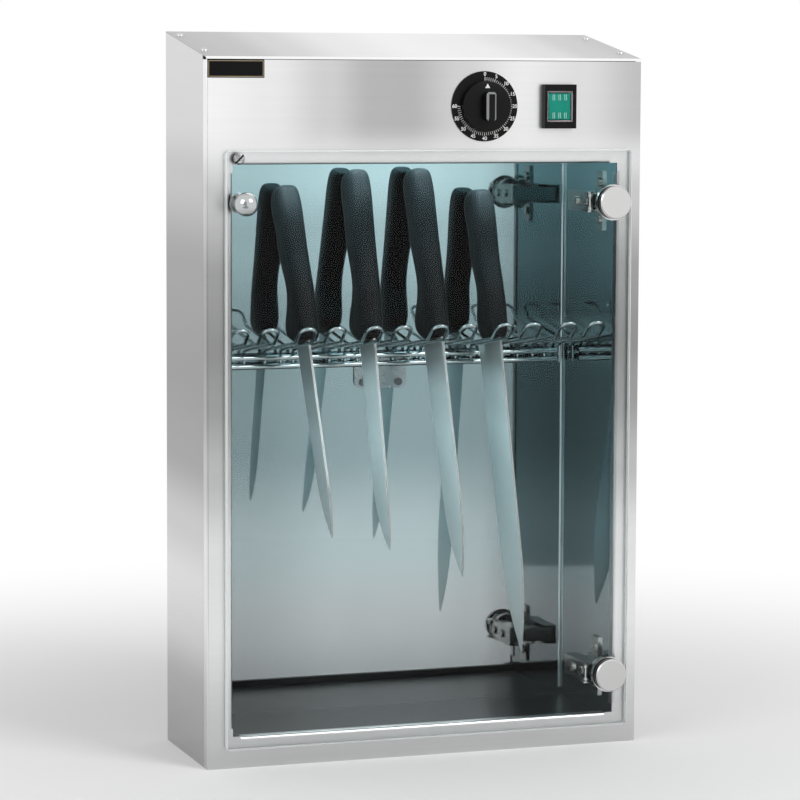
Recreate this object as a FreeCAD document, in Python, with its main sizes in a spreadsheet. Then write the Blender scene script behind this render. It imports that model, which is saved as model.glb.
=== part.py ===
# A wall cabinet that keeps kitchen knives under an ultraviolet lamp.
# Millimetres; X to the right, Y to the back, Z up.
# The origin is the middle of the cabinet's underside.
import FreeCAD
import Part
import os
import re
from math import atan2, cos, degrees, hypot, pi, radians, sin

import Sketcher
from FreeCAD import Placement, Rotation, Vector

os.makedirs("parts", exist_ok=True)
doc = FreeCAD.newDocument("knife_cabinet")
sheet = doc.addObject("Spreadsheet::Sheet", "size")
SIZES = {
    # The outer casing of folded sheet
    "width": 390, "depth": 130, "front_height": 598, "roof_rise": 22, "wall": 1.0,
    "front_fold": 11, "fold_seam": 0.3, "inner_fold": 12, "roof_lip": 2, "roof_seam": 0.5,
    "corner_bend": 1.5, "roof_flange": 16,
    # The doorway in the front panel, with its edges folded inwards
    "side_margin": 22.2, "door_foot_lap": 11, "door_top_lap": 12, "edge_bend": 3,
    "lip_depth": 8, "corner_relief": 7,
    # The polished chamber behind the doorway
    "liner": 0.8, "chamber_depth": 124.5, "floor_drop": 7, "ceiling_gap": 0.2, "wall_start": 4,
    # The clear door that lies over the doorway
    "door_left_gap": 15, "door_right_gap": 10, "door_foot_gap": 16, "header": 77.5,
    "door_thick": 5, "door_gap": 1.5, "door_corner": 4, "door_bevel": 1.5,
    # Ball knob of the door, measured from the door's left and top edges
    "knob_inset": 11.5, "knob_drop": 43.8, "knob_flange_radius": 8.75, "knob_flange": 1.5,
    "knob_neck_radius": 4.2, "knob_reach": 20.5, "knob_ball_radius": 10, "door_screw_radius": 2,
    "door_screw_gap": 0.1, "door_screw_head_radius": 3.6, "door_screw_head": 1.1,
    "door_screw_grip": 8,
    # Stud of the door that presses the door switch
    "stud_inset": 11.3, "stud_drop": 6.9, "stud_head_radius": 5, "stud_head": 2.6,
    "stud_radius": 2.5, "stud_tip": 0.9, "stud_slot": 1.2, "stud_slot_depth": 0.8,
    # Concealed hinge: the part in the door
    "hinge_inset": 18.4, "hinge_end_distance": 46, "cup_radius": 12.8, "cup_wall": 1,
    "cup_depth": 9.3, "cup_hole_gap": 0.2, "clamp_ring": 1.2, "clamp_ring_radius": 14,
    "notch_gap": 1.7, "notch_clearance": 3, "cup_slot": 13.6, "cup_slot_clearance": 1,
    "cap_flange_radius": 15.5, "cap_flange": 1.5, "cap_groove_radius": 13, "cap_groove": 1.6,
    "cap_radius": 14.2, "cap_thick": 5, "cap_edge": 1,
    # Concealed hinge: the part on the chamber wall
    "arm_offset": 23.3, "arm_sheet": 1.2, "arm_height": 17.4, "arm_start": 12, "arm_length": 45,
    "arm_depth": 11.5, "ear_front": 3.5, "ear_side": 3.6, "ear_lap": 4.4, "ear_step": 9.3,
    "plate_thick": 2, "plate_wing": 52, "plate_wing_width": 14, "plate_bar": 40,
    "plate_bar_height": 16, "plate_setback": 37, "plate_screw_spacing": 32, "rib_height": 12,
    "rib_length": 32, "arm_screw_start": 5, "hinge_screw_head_radius": 3.9,
    "hinge_screw_head": 1.6, "hinge_screw_radius": 2, "hinge_screw_gap": 0.1,
    "hinge_screw_length": 10,
    # Concealed hinge: the moving links and their pins
    "pin_radius": 1.5, "pin_gap": 0.05, "link_eye": 3, "link_sheet": 2, "link_far": 6.4,
    "arm_pin_offset": 22.8, "arm_pin_back": 7.5, "cup_pin_offset": 9.4, "cup_pin_back": 7,
    "cup_pin_half": 8.8, "pin_lug_radius": 2.7,
    # Knife rack of bent wire on two rods
    "rack_centre": -1.1, "pair_pitch": 59.3, "finger_pitch": 26, "loop_width": 14.5,
    "wire_radius": 1.5, "loop_front": 9, "loop_run": 16, "loop_rise": 13, "rack_drop": 152,
    "leg_drop": 13.5, "finger_back": 117, "finger_drop": 17, "leg_bend": 5, "rod_radius": 2.5,
    "rod_end_gap": 9.8, "upper_rod_drop": 6.5, "rod_spacing": 7.6, "weld": 0.1,
    # Bracket of the rack on the chamber's back
    "bracket_width": 49, "bracket_drop": 20, "bracket_height": 30, "bracket_sheet": 2,
    "bracket_corner": 7, "tongue_width": 12, "bracket_screw_spacing": 33,
    "bracket_screw_rise": 5.5, "bracket_screw_radius": 2, "bracket_screw_head_radius": 3.4,
    "bracket_screw_head": 1.6, "bracket_screw_length": 5, "bracket_screw_gap": 0.1,
    # Knives hung in the rack: forms that all four share
    "handle_thick": 22, "handle_front": 15, "neck_rear": 12, "palm_rear": 14, "butt_rear": 16,
    "handle_swell": 0.5, "heel_rear": 8, "guard_heel": 20, "end_round": 3, "blade_thick": 2,
    "tang_width": 12, "tang_length": 60, "twist": 4, "lowering": 6,
    # Each knife's lean from the vertical and to the side, the place of its guard, the forms
    # of its blade and the flare of its guard
    "lean_1": 19.3, "side_lean_1": 2, "guard_back_1": 57.2, "guard_aside_1": -0.4,
    "blade_length_1": 173, "blade_front_1": 6.5, "blade_width_1": 31.5, "blade_taper_1": 6,
    "tip_back_1": 1, "handle_length_1": 140, "flare_1": 15, "bow_1": 3,
    "lean_2": 17, "side_lean_2": -0.6, "guard_back_2": 59.5, "guard_aside_2": -1.5,
    "blade_length_2": 185, "blade_front_2": 11.5, "blade_width_2": 34, "blade_taper_2": 3,
    "tip_back_2": -6, "handle_length_2": 152.5, "flare_2": 15, "bow_2": 2,
    "lean_3": 15.7, "side_lean_3": 1.2, "guard_back_3": 62.5, "guard_aside_3": 1.2,
    "blade_length_3": 210, "blade_front_3": 15, "blade_width_3": 44, "blade_taper_3": 7,
    "tip_back_3": -1, "handle_length_3": 153, "flare_3": 15, "bow_3": 2,
    "lean_4": 12, "side_lean_4": 1.5, "guard_back_4": 73.5, "guard_aside_4": 0.3,
    "blade_length_4": 275, "blade_front_4": 14.5, "blade_width_4": 51, "blade_taper_4": 8,
    "tip_back_4": 4, "handle_length_4": 134, "flare_4": 5, "bow_4": 4,
    # Timer, its printed dial and its knob
    "timer_inset": 145, "control_drop": 41, "dial_radius": 29.8, "dial_thick": 1.2,
    "dial_hole_radius": 5, "disc_radius": 21.5, "disc_thick": 6.2, "disc_gap": 0.6,
    "grip_height": 25, "grip_foot": 12.5, "grip_face": 8.5, "grip_thick": 11,
    "spindle_radius": 3, "spindle_gap": 0.06, "spindle_hold": 4, "spindle_depth": 12,
    "spindle_hole_radius": 6, "timer_box": 45, "timer_box_depth": 36, "timer_gear_radius": 18,
    "timer_gear_depth": 6, "timer_screw_spacing": 30, "timer_screw_radius": 1.5,
    "timer_screw_head_radius": 2.9, "timer_screw_length": 8, "timer_screw_gap": 0.1,
    # Mains switch: bezel, rocker and clear cover
    "switch_inset": 77.7, "bezel_width": 29, "bezel_height": 37.6, "bezel_thick": 7,
    "window_width": 24.2, "window_height": 26.5, "window_floor": 1, "housing_width": 22,
    "housing_height": 30, "housing_depth": 24, "housing_wall": 1.5, "rocker_width": 22.5,
    "rocker_height": 25, "rocker_thick": 2, "rocker_gap": 1.2, "stem_width": 17,
    "stem_height": 10, "stem_length": 7, "stem_slot_height": 14, "rocker_pin_back": 2,
    "rocker_pin_radius": 1.5, "rocker_pin_gap": 0.06, "rocker_pin_half": 10.4, "cover_thick": 1,
    "cover_inset": 0.8,
    # Door switch above the doorway's left corner
    "trip_length": 19.8, "trip_height": 6, "trip_depth": 10.2, "trip_setback": 1.4,
    "trip_bracket": 1, "trip_flange": 10, "plunger_radius": 1.5, "plunger_gap": 0.3,
    "plunger_hole_gap": 0.6, "plunger_length": 7.3, "plunger_lead": 0.5, "plunger_bore": 9,
    "trip_screw_spacing": 14, "trip_screw_back": 5.5, "trip_screw_radius": 1,
    "trip_screw_gap": 0.1, "trip_screw_head_radius": 1.9, "trip_screw_head": 1.2,
    # Ultraviolet lamp in its reflector above the ceiling
    "lamp_length": 288, "lamp_radius": 7.75, "lamp_glass": 0.8, "lamp_back": 87,
    "lamp_lift": 14, "lamp_cap_length": 11, "lamp_cap_wall": 0.4, "lamp_cap_face": 1,
    "lamp_pin_radius": 1.2, "lamp_pin_length": 7, "lamp_pin_spacing": 5, "lamp_pin_gap": 0.1,
    "holder_width": 20, "holder_drop": 9, "holder_thick": 10, "trough_width": 48,
    "trough_height": 36, "trough_end_gap": 7, "slot_ledge": 6,
    # Electrical parts that stand on the ceiling
    "ballast_inset": 81.8, "ballast_back": 35, "ballast_length": 104, "ballast_width": 30,
    "ballast_height": 27, "ballast_foot": 10, "ballast_foot_thick": 1.5, "starter_x": 2,
    "starter_back": 35, "starter_radius": 10.7, "starter_length": 36, "socket_radius": 14,
    "socket_height": 9, "terminal_inset": 55.8, "terminal_back": 40, "terminal_length": 42,
    "terminal_width": 17, "terminal_height": 15, "terminal_base": 6, "terminal_ways": 4,
    "earth_inset": 13.8, "earth_back": 40, "earth_radius": 2, "earth_length": 14,
    "earth_nut_radius": 4, "earth_nut": 3.2,
    # Cable gland in the right side
    "gland_drop": 38, "gland_back": 100, "gland_radius": 7.5, "gland_gap": 0.1,
    "gland_bore_radius": 3.5, "gland_hex_radius": 11, "gland_hex": 5, "gland_dome_radius": 8.5,
    "gland_dome": 9, "gland_dome_end_radius": 6, "gland_inside": 8, "gland_nut": 4,
    # Hanging holes, blank name plate and roof screws
    "hang_hole_radius": 3, "hang_spacing": 300, "hang_drop": 38, "name_plate_length": 49,
    "name_plate_height": 15, "name_plate_thick": 0.6, "name_plate_inset": 0.8,
    "roof_screw_inset": 7, "roof_screw_front": 31.5, "roof_screw_back": 109,
    "roof_screw_radius": 1.75, "roof_screw_gap": 0.25, "roof_screw_length": 9,
    "roof_head_radius": 3.5, "roof_head": 2,
}
for row, (word, number) in enumerate(SIZES.items(), 1):
    sheet.set("A%d" % row, word.replace("_", " "))
    sheet.set("B%d" % row, str(number))
    sheet.setAlias("B%d" % row, word)
doc.recompute()

WORD = re.compile(r"[a-z][a-z_0-9]*")


def formula(text):
    """Turn the plain words of a formula into references to the sheet."""
    return WORD.sub(lambda word: "size." + word.group(), str(text))


def bind(thing, prop, text):
    thing.setExpression(prop, formula(text))


# Places that many pieces share, as formulas of the driving sizes
FRONT = "(-depth / 2)"
BACK = "(depth / 2)"
HALF = "(width / 2)"
FLAP_BACK = "(front_fold + 2 * fold_seam + inner_fold)"
PANEL_TOP = "(front_height - roof_lip - roof_seam)"
EDGE = "(width / 2 - side_margin)"
WALL = "(width / 2 - side_margin + wall)"
DOOR_TOP = "(front_height - header)"
SILL = "(door_foot_gap + door_foot_lap)"
DOORWAY_TOP = "(front_height - header - door_top_lap)"
CEILING = "(front_height - header - door_top_lap + wall + ceiling_gap)"
DECK = "(front_height - header - door_top_lap + wall + ceiling_gap + liner)"
FLOOR = "(door_foot_gap + door_foot_lap - floor_drop)"
DOOR_BACK = "(-depth / 2 - door_gap)"
DOOR_FACE = "(-depth / 2 - door_gap - door_thick)"
DOOR_LEFT = "(-width / 2 + door_left_gap)"
DOOR_RIGHT = "(width / 2 - door_right_gap)"
STUD_X = "(-width / 2 + door_left_gap + stud_inset)"
STUD_Z = "(front_height - header - stud_drop)"
KNOB_X = "(-width / 2 + door_left_gap + knob_inset)"
KNOB_Z = "(front_height - header - knob_drop)"
TIMER_X = "(width / 2 - timer_inset)"
SWITCH_X = "(width / 2 - switch_inset)"
CONTROL_Z = "(front_height - control_drop)"
HINGE_X = "(width / 2 - door_right_gap - hinge_inset)"
HINGES = {"upper": "(front_height - header - hinge_end_distance)",
          "lower": "(door_foot_gap + hinge_end_distance)"}
ARM_FACE = "(width / 2 - side_margin + wall - arm_offset)"
ARM_PIN_X = "(width / 2 - side_margin + wall - arm_pin_offset)"
CUP_PIN_X = "(width / 2 - door_right_gap - hinge_inset + cup_pin_offset)"
FOOT = "(front_height - header - door_top_lap - rack_drop)"
TAIL = "(front_height - header - door_top_lap - rack_drop - leg_drop - finger_drop)"
ROD_BACK = "(finger_back - wire_radius - rod_radius + weld)"
LAMP_Z = "(front_height - header - door_top_lap + wall + ceiling_gap + liner + lamp_lift)"


def behind(text):
    """Y of a place that lies a given distance behind the front."""
    return "(-depth / 2 + %s)" % text


def roof(back):
    """Height of the roof's top at a distance behind the front."""
    return "(front_height + roof_rise * (%s) / depth)" % back


def span(side, near, far):
    """Low and high X between two depths inside the left or the right face."""
    if side == "left":
        return "-width / 2 + " + near, "-width / 2 + " + far
    return "width / 2 - (%s)" % far, "width / 2 - (%s)" % near


def about(middle, length):
    """Low and high place of a length about its middle."""
    return "%s - (%s) / 2" % (middle, length), "%s + (%s) / 2" % (middle, length)


UP = Rotation()
TURN = {"+z": UP, "-z": Rotation(Vector(1, 0, 0), 180),
        "+y": Rotation(Vector(1, 0, 0), -90), "-y": Rotation(Vector(1, 0, 0), 90),
        "+x": Rotation(Vector(0, 1, 0), 90), "-x": Rotation(Vector(0, 1, 0), -90)}
nodes = []


def item(kind):
    return doc.addObject(kind, "piece_%04d" % len(doc.Objects))


def place(new, x, y, z, turn=UP):
    new.Placement = Placement(Vector(), turn)
    for axis, text in zip("xyz", (x, y, z)):
        bind(new, "Placement.Base." + axis, text)
    return new


def block(x, y, z):
    """A box between a low and a high place on each axis."""
    new = item("Part::Box")
    for prop, (low, high) in zip(("Length", "Width", "Height"), (x, y, z)):
        bind(new, prop, "(%s) - (%s)" % (high, low))
    return place(new, x[0], y[0], z[0])


def bar(at, way, radius, length, start=0, angle=360):
    """A round bar, or a sector of one, that runs one way from a place."""
    new = item("Part::Cylinder")
    bind(new, "Radius", radius)
    bind(new, "Height", length)
    new.Angle = angle
    return place(new, *at, TURN[way].multiply(Rotation(Vector(0, 0, 1), start)))


def cone(at, way, near_radius, far_radius, length):
    new = item("Part::Cone")
    bind(new, "Radius1", near_radius)
    bind(new, "Radius2", far_radius)
    bind(new, "Height", length)
    return place(new, *at, TURN[way])


def ball(at, radius):
    new = item("Part::Sphere")
    bind(new, "Radius", radius)
    return place(new, *at)


def hexagon(at, way, radius, length):
    new = item("Part::Prism")
    new.Polygon = 6
    bind(new, "Circumradius", radius)
    bind(new, "Height", length)
    return place(new, *at, TURN[way])


def join(parts):
    new = item("Part::MultiFuse")
    new.Shapes = parts
    new.Refine = True
    return new


def group(parts):
    new = item("Part::Compound")
    new.Links = parts
    return new


def cut(base, tools):
    new = item("Part::Cut")
    new.Base = base
    new.Tool = tools[0] if len(tools) == 1 else group(tools)
    return new


def fold(at, way, start, radius, length):
    """A quarter turn of sheet that runs one way."""
    outer = bar(at, way, radius, length, start, 90)
    inner = bar(at, way, radius + " - wall", length, start, 90)
    return cut(outer, [inner])


def outline(body, role, points, offset):
    """A closed sketch of straight lines whose corners follow formulas."""
    sketch = body.newObject("Sketcher::SketchObject", "outline_%04d" % len(doc.Objects))
    plane = next(f for f in body.Origin.OriginFeatures if f.Role == role)
    sketch.AttachmentSupport = [(plane, "")]
    sketch.MapMode = "FlatFace"
    bind(sketch, "AttachmentOffset.Base.z", offset)
    count = len(points)
    spots = [Vector(cos(2 * pi * i / count), sin(2 * pi * i / count), 0) for i in range(count)]
    for i in range(count):
        sketch.addGeometry(Part.LineSegment(spots[i], spots[(i + 1) % count]), False)
    for i in range(count):
        sketch.addConstraint(Sketcher.Constraint("Coincident", i, 2, (i + 1) % count, 1))
    for i, (across, up) in enumerate(points):
        for kind, text, spot in (("DistanceX", across, spots[i].x), ("DistanceY", up, spots[i].y)):
            index = sketch.addConstraint(Sketcher.Constraint(kind, i, 1, spot))
            bind(sketch, "Constraints[%d]" % index, text)
    return sketch


def prism(role, points, low, high):
    """An outline on one of the origin's planes, pushed from a low to a high place."""
    body = item("PartDesign::Body")
    to_back = role == "XZ_Plane"
    sketch = outline(body, role, points, "-(%s)" % low if to_back else low)
    pad = body.newObject("PartDesign::Pad", "pad_%04d" % len(doc.Objects))
    pad.Profile = sketch
    pad.Reversed = to_back
    bind(pad, "Length", "(%s) - (%s)" % (high, low))
    return body


def solid(shape, where=Placement()):
    """A piece whose shape is worked out here from the sheet's numbers."""
    new = item("Part::Feature")
    new.Shape = shape
    new.Placement = where
    return new


def get(word):
    return float(sheet.get(word))


def node(label, thing):
    """Name a finished sub-part."""
    thing.Label = label
    nodes.append(thing)


# The casing
def side_panel(side):
    seam_back = "front_fold + fold_seam"
    plate = prism("YZ_Plane", [
        (behind(seam_back), "0"), (BACK, "0"), (BACK, roof("depth") + " - wall"),
        (behind(seam_back), roof(seam_back) + " - wall")], *span(side, "0", "wall"))
    tongue = block(span(side, "wall", "2 * wall"),
                   (behind("corner_bend"), behind(seam_back + " + inner_fold")),
                   ("wall", PANEL_TOP + " - wall"))
    flange = prism("YZ_Plane", [
        (behind(seam_back), roof(seam_back) + " - 2 * wall"),
        (BACK + " - wall", roof("depth - wall") + " - 2 * wall"),
        (BACK + " - wall", roof("depth - wall") + " - wall"),
        (behind(seam_back), roof(seam_back) + " - wall")], *span(side, "0", "roof_flange"))
    tools = roof_holes(side)
    if side == "right":
        tools.append(bar((HALF + " - 2 * wall", behind("gland_back"), "front_height - gland_drop"), "+x",
                         "gland_radius + gland_gap", "3 * wall"))
    return cut(join([plate, tongue, flange]), tools)


def roof_spots(side):
    x = span(side, "roof_screw_inset", "roof_screw_inset")[0]
    return [(x, back) for back in ("roof_screw_front", "roof_screw_back")]


def roof_holes(side):
    return [bar((x, behind(back), roof(back) + " - roof_screw_length"), "+z",
                "roof_screw_radius + roof_screw_gap", "2 * roof_screw_length")
            for x, back in roof_spots(side)]


def roof_cover():
    sheet_metal = prism("YZ_Plane", [
        (FRONT, "front_height - roof_lip"), (behind("wall"), "front_height - roof_lip"),
        (behind("wall"), roof("wall") + " - wall"), (BACK, roof("depth") + " - wall"),
        (BACK, roof("depth")), (FRONT, "front_height")], "-" + HALF, HALF)
    return cut(sheet_metal, roof_holes("left") + roof_holes("right"))


def roof_screw(x, back):
    """A domed screw square to the sloping roof."""
    radius = get("roof_head_radius")
    reach = 2 * radius
    upper = Part.makeBox(2 * reach, 2 * reach, reach, Vector(-reach, -reach, 0))
    head = Part.makeSphere(radius).common(upper)
    squash = FreeCAD.Matrix()
    squash.scale(1, 1, get("roof_head") / radius)
    head = head.transformGeometry(squash)
    length = get("roof_screw_length")
    shank = Part.makeCylinder(get("roof_screw_radius"), length, Vector(0, 0, -length))
    screw = head.fuse(shank).removeSplitter()
    slope = degrees(atan2(get("roof_rise"), get("depth")))
    top = get("front_height") + get("roof_rise") * back / get("depth")
    screw.Placement = Placement(Vector(x, back - get("depth") / 2, top),
                                Rotation(Vector(1, 0, 0), slope))
    return screw


def roof_screws():
    across = get("width") / 2 - get("roof_screw_inset")
    return solid(Part.Compound([roof_screw(x, get(back)) for x in (-across, across)
                                for back in ("roof_screw_front", "roof_screw_back")]))


def back_panel():
    inner = ("-" + HALF + " + wall", HALF + " - wall")
    plate = prism("YZ_Plane", [
        (BACK + " - wall", "wall"), (BACK, "wall"), (BACK, roof("depth") + " - wall"),
        (BACK + " - wall", roof("depth - wall") + " - wall")], *inner)
    flanges = [block(span(side, "wall", "2 * wall"), (BACK + " - wall - inner_fold", BACK),
                     ("inner_fold + 2 * wall", "front_height")) for side in ("left", "right")]
    holes = [bar(("%d * hang_spacing / 2" % way, BACK + " - 2 * wall", "front_height - hang_drop"), "+y",
                 "hang_hole_radius", "3 * wall") for way in (-1, 1)]
    return cut(join([plate] + flanges), holes)


def bottom_panel():
    plate = block(("-" + HALF + " + wall", HALF + " - wall"), (behind("wall"), BACK),
                  ("0", "wall"))
    flanges = [block(span(side, "wall", "2 * wall"), (behind(FLAP_BACK), BACK + " - wall"),
                     ("0", "wall + inner_fold")) for side in ("left", "right")]
    return join([plate] + flanges)


def doorway_lips():
    """The doorway's edges: a rounded bend and a short lip on each of its four sides."""
    low = SILL + " + corner_relief"
    tall = "%s - %s - 2 * corner_relief" % (DOORWAY_TOP, SILL)
    left = "-%s + corner_relief" % EDGE
    wide = "2 * %s - 2 * corner_relief" % EDGE
    bend = behind("edge_bend")
    lip = (bend, behind("lip_depth"))
    across = (left, EDGE + " - corner_relief")
    up = (low, DOORWAY_TOP + " - corner_relief")
    return [
        fold(("-%s - edge_bend" % EDGE, bend, low), "+z", 270, "edge_bend", tall),
        fold((EDGE + " + edge_bend", bend, low), "+z", 180, "edge_bend", tall),
        fold((left, bend, SILL + " - edge_bend"), "+x", 180, "edge_bend", wide),
        fold((left, bend, DOORWAY_TOP + " + edge_bend"), "+x", 270, "edge_bend", wide),
        block(("-%s - wall" % EDGE, "-" + EDGE), lip, up),
        block((EDGE, EDGE + " + wall"), lip, up),
        block(across, lip, (SILL + " - wall", SILL)),
        block(across, lip, (DOORWAY_TOP, DOORWAY_TOP + " + wall"))]


def hinge_notches():
    """Round clearance for the two hinge cups."""
    return [bar((HINGE_X, FRONT + " - wall", z), "+y", "cup_radius + notch_gap",
                "wall + cup_depth - door_gap + notch_clearance") for z in HINGES.values()]


def timer_screw_spots():
    return [TIMER_X + " + %d * timer_screw_spacing / 2" % way for way in (-1, 1)]


def front_panel():
    plate = block(("-%s + corner_bend" % HALF, HALF + " - corner_bend"),
                  (FRONT, behind("wall")), ("0", PANEL_TOP))
    through = (FRONT + " - wall", behind("2 * wall"))
    doorway = [
        block(("-" + EDGE, EDGE), through, (SILL, DOORWAY_TOP)),
        block(("-%s - edge_bend" % EDGE, EDGE + " + edge_bend"), through,
              (SILL + " + corner_relief", DOORWAY_TOP + " - corner_relief")),
        block(("-%s + corner_relief" % EDGE, EDGE + " - corner_relief"), through,
              (SILL + " - edge_bend", DOORWAY_TOP + " + edge_bend"))]
    wraps = []
    for side, way, start in (("left", "-", 180), ("right", "", 270)):
        corner = "%s(width / 2 - corner_bend)" % way
        wraps.append(fold((corner, behind("corner_bend"), "0"), "+z", start, "corner_bend",
                          PANEL_TOP))
        wraps.append(block(span(side, "0", "wall"),
                           (behind("corner_bend"), behind("front_fold")), ("0", PANEL_TOP)))
    holes = hinge_notches()
    holes.append(bar((TIMER_X, through[0], CONTROL_Z), "+y", "spindle_hole_radius",
                     "3 * wall"))
    holes.append(bar((STUD_X, through[0], STUD_Z), "+y", "plunger_radius + plunger_hole_gap",
                     "3 * wall"))
    holes.append(block(about(SWITCH_X, "housing_width"), through,
                       about(CONTROL_Z, "housing_height")))
    for x in timer_screw_spots():
        holes.append(cone((x, FRONT, CONTROL_Z), "+y",
                          "timer_screw_head_radius + timer_screw_gap",
                          "timer_screw_radius + timer_screw_gap", "wall"))
    return cut(join([cut(plate, doorway)] + wraps + doorway_lips()), holes)


def name_plate():
    x = ("-%s + name_plate_inset" % HALF, "-%s + name_plate_inset + name_plate_length" % HALF)
    return block(x, (FRONT + " - name_plate_thick", FRONT),
                 (PANEL_TOP + " - name_plate_height", PANEL_TOP))


node("left_side_panel", side_panel("left"))
node("right_side_panel", side_panel("right"))
node("back_panel", back_panel())
node("bottom_panel", bottom_panel())
node("front_panel", front_panel())
node("roof_cover", roof_cover())
node("roof_screws", roof_screws())
node("name_plate", name_plate())


# The chamber
CHAMBER = behind("chamber_depth")
INSIDE = ("-" + WALL, WALL)
OUTSIDE = ("-%s - liner" % WALL, WALL + " + liner")


def bracket_screw_spots():
    return [("rack_centre + %d * bracket_screw_spacing / 2" % way,
             TAIL + " - bracket_drop + bracket_screw_rise") for way in (-1, 1)]


def chamber_back():
    sheet_metal = block(OUTSIDE, (CHAMBER, CHAMBER + " + liner"), (FLOOR + " - liner", CEILING))
    holes = [bar((x, CHAMBER + " - liner", z), "+y", "bracket_screw_radius + bracket_screw_gap",
                 "3 * liner") for x, z in bracket_screw_spots()]
    return cut(sheet_metal, holes)


def chamber_left_wall():
    return block((OUTSIDE[0], INSIDE[0]), (behind("wall_start"), CHAMBER),
                 (FLOOR + " - liner", CEILING))


def plate_screw_spots():
    return [(behind("plate_setback"), "%s + %d * plate_screw_spacing / 2" % (z, way))
            for z in HINGES.values() for way in (-1, 1)]


def chamber_right_wall():
    sheet_metal = block((INSIDE[1], OUTSIDE[1]), (behind("wall_start"), CHAMBER),
                        (FLOOR + " - liner", CEILING))
    holes = [bar((WALL + " - liner", y, z), "+x", "hinge_screw_radius + hinge_screw_gap",
                 "3 * liner") for y, z in plate_screw_spots()]
    return cut(sheet_metal, holes + hinge_notches())


def chamber_floor():
    plate = block(INSIDE, (behind("lip_depth - liner"), CHAMBER), (FLOOR + " - liner", FLOOR))
    upstand = block(INSIDE, (behind("lip_depth - liner"), behind("lip_depth")),
                    (FLOOR + " - liner", SILL + " - wall"))
    return join([plate, upstand])


TROUGH = "(lamp_length + 2 * holder_thick + 2 * trough_end_gap)"


def trough_inside(ledge):
    """Low and high places of the space under the reflector, less a ledge."""
    return (about("0 * width", TROUGH + " - 2 * liner - 2 * " + ledge),
            about(behind("lamp_back"), "trough_width - 2 * liner - 2 * " + ledge))


def chamber_ceiling():
    plate = block(OUTSIDE, (behind("lip_depth - liner"), CHAMBER + " + liner"), (CEILING, DECK))
    slot = block(*trough_inside("slot_ledge"), (CEILING + " - liner", DECK + " + liner"))
    return cut(plate, [slot])


node("chamber_back", chamber_back())
node("chamber_left_wall", chamber_left_wall())
node("chamber_right_wall", chamber_right_wall())
node("chamber_floor", chamber_floor())
node("chamber_ceiling", chamber_ceiling())


# The lamp, across the top of the chamber
def lamp_reflector():
    shell = block(about("0 * width", TROUGH),
                  about(behind("lamp_back"), "trough_width"), (DECK, DECK + " + trough_height"))
    space = block(*trough_inside("0"), (DECK + " - liner", DECK + " + trough_height - liner"))
    return cut(shell, [space])


def lamp_tube():
    length = "lamp_length - 2 * lamp_cap_face"
    ends = ("-(%s) / 2" % length, behind("lamp_back"), LAMP_Z)
    glass = bar(ends, "+x", "lamp_radius - lamp_cap_wall", length)
    return cut(glass, [bar(ends, "+x", "lamp_radius - lamp_cap_wall - lamp_glass", length)])


def lamp_pins(radius, way):
    return [bar(("%s lamp_length / 2" % way, behind("lamp_back"),
                 "%s + %d * lamp_pin_spacing / 2" % (LAMP_Z, side)), way + "x", radius,
                "lamp_pin_length") for side in (-1, 1)]


def lamp_end_caps():
    caps = []
    for way in ("-", "+"):
        at = ("%s lamp_length / 2" % way, behind("lamp_back"), LAMP_Z)
        inner = ("%s (lamp_length / 2 - lamp_cap_face)" % way, at[1], at[2])
        back = "-x" if way == "+" else "+x"
        cap = cut(bar(at, back, "lamp_radius", "lamp_cap_length"),
                  [bar(inner, back, "lamp_radius - lamp_cap_wall", "lamp_cap_length")])
        caps.append(join([cap] + lamp_pins("lamp_pin_radius", way)))
    return group(caps)


def lamp_holders():
    holders = []
    for way in ("-", "+"):
        ends = ["%s lamp_length / 2" % way, "%s (lamp_length / 2 + holder_thick)" % way]
        body = block(tuple(ends if way == "+" else ends[::-1]),
                     about(behind("lamp_back"), "holder_width"),
                     (LAMP_Z + " - holder_drop", DECK + " + trough_height - liner"))
        holders.append(cut(body, lamp_pins("lamp_pin_radius + lamp_pin_gap", way)))
    return group(holders)


node("lamp_reflector", lamp_reflector())
node("lamp_tube", lamp_tube())
node("lamp_end_caps", lamp_end_caps())
node("lamp_holders", lamp_holders())


# The electrical parts on the ceiling
def ballast():
    core = block(about("-%s + ballast_inset" % WALL, "ballast_length"),
                 about(behind("ballast_back"), "ballast_width"),
                 (DECK, DECK + " + ballast_height"))
    foot = block(about("-%s + ballast_inset" % WALL, "ballast_length + 2 * ballast_foot"),
                 about(behind("ballast_back"), "ballast_width"),
                 (DECK, DECK + " + ballast_foot_thick"))
    return join([core, foot])


def starter_socket():
    at = ("starter_x", behind("starter_back"), DECK)
    return bar(at, "+z", "socket_radius", "socket_height")


def starter():
    at = ("starter_x", behind("starter_back"), DECK + " + socket_height")
    return bar(at, "+z", "starter_radius", "starter_length")


def terminal_block():
    depth = about(behind("terminal_back"), "terminal_width")
    base = block(about(WALL + " - terminal_inset", "terminal_length"), depth,
                 (DECK, DECK + " + terminal_base"))
    towers = []
    for way in range(int(get("terminal_ways"))):
        middle = (WALL + " - terminal_inset + terminal_length * (%d + 0.5 - terminal_ways / 2)"
                  " / terminal_ways") % way
        towers.append(block(about(middle, "terminal_length / terminal_ways - terminal_base / 2"),
                            depth, (DECK, DECK + " + terminal_height")))
    return join([base] + towers)


def earth_stud():
    at = (WALL + " - earth_inset", behind("earth_back"), DECK)
    return join([bar(at, "+z", "earth_radius", "earth_length"),
                 hexagon(at, "+z", "earth_nut_radius", "earth_nut")])


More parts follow.
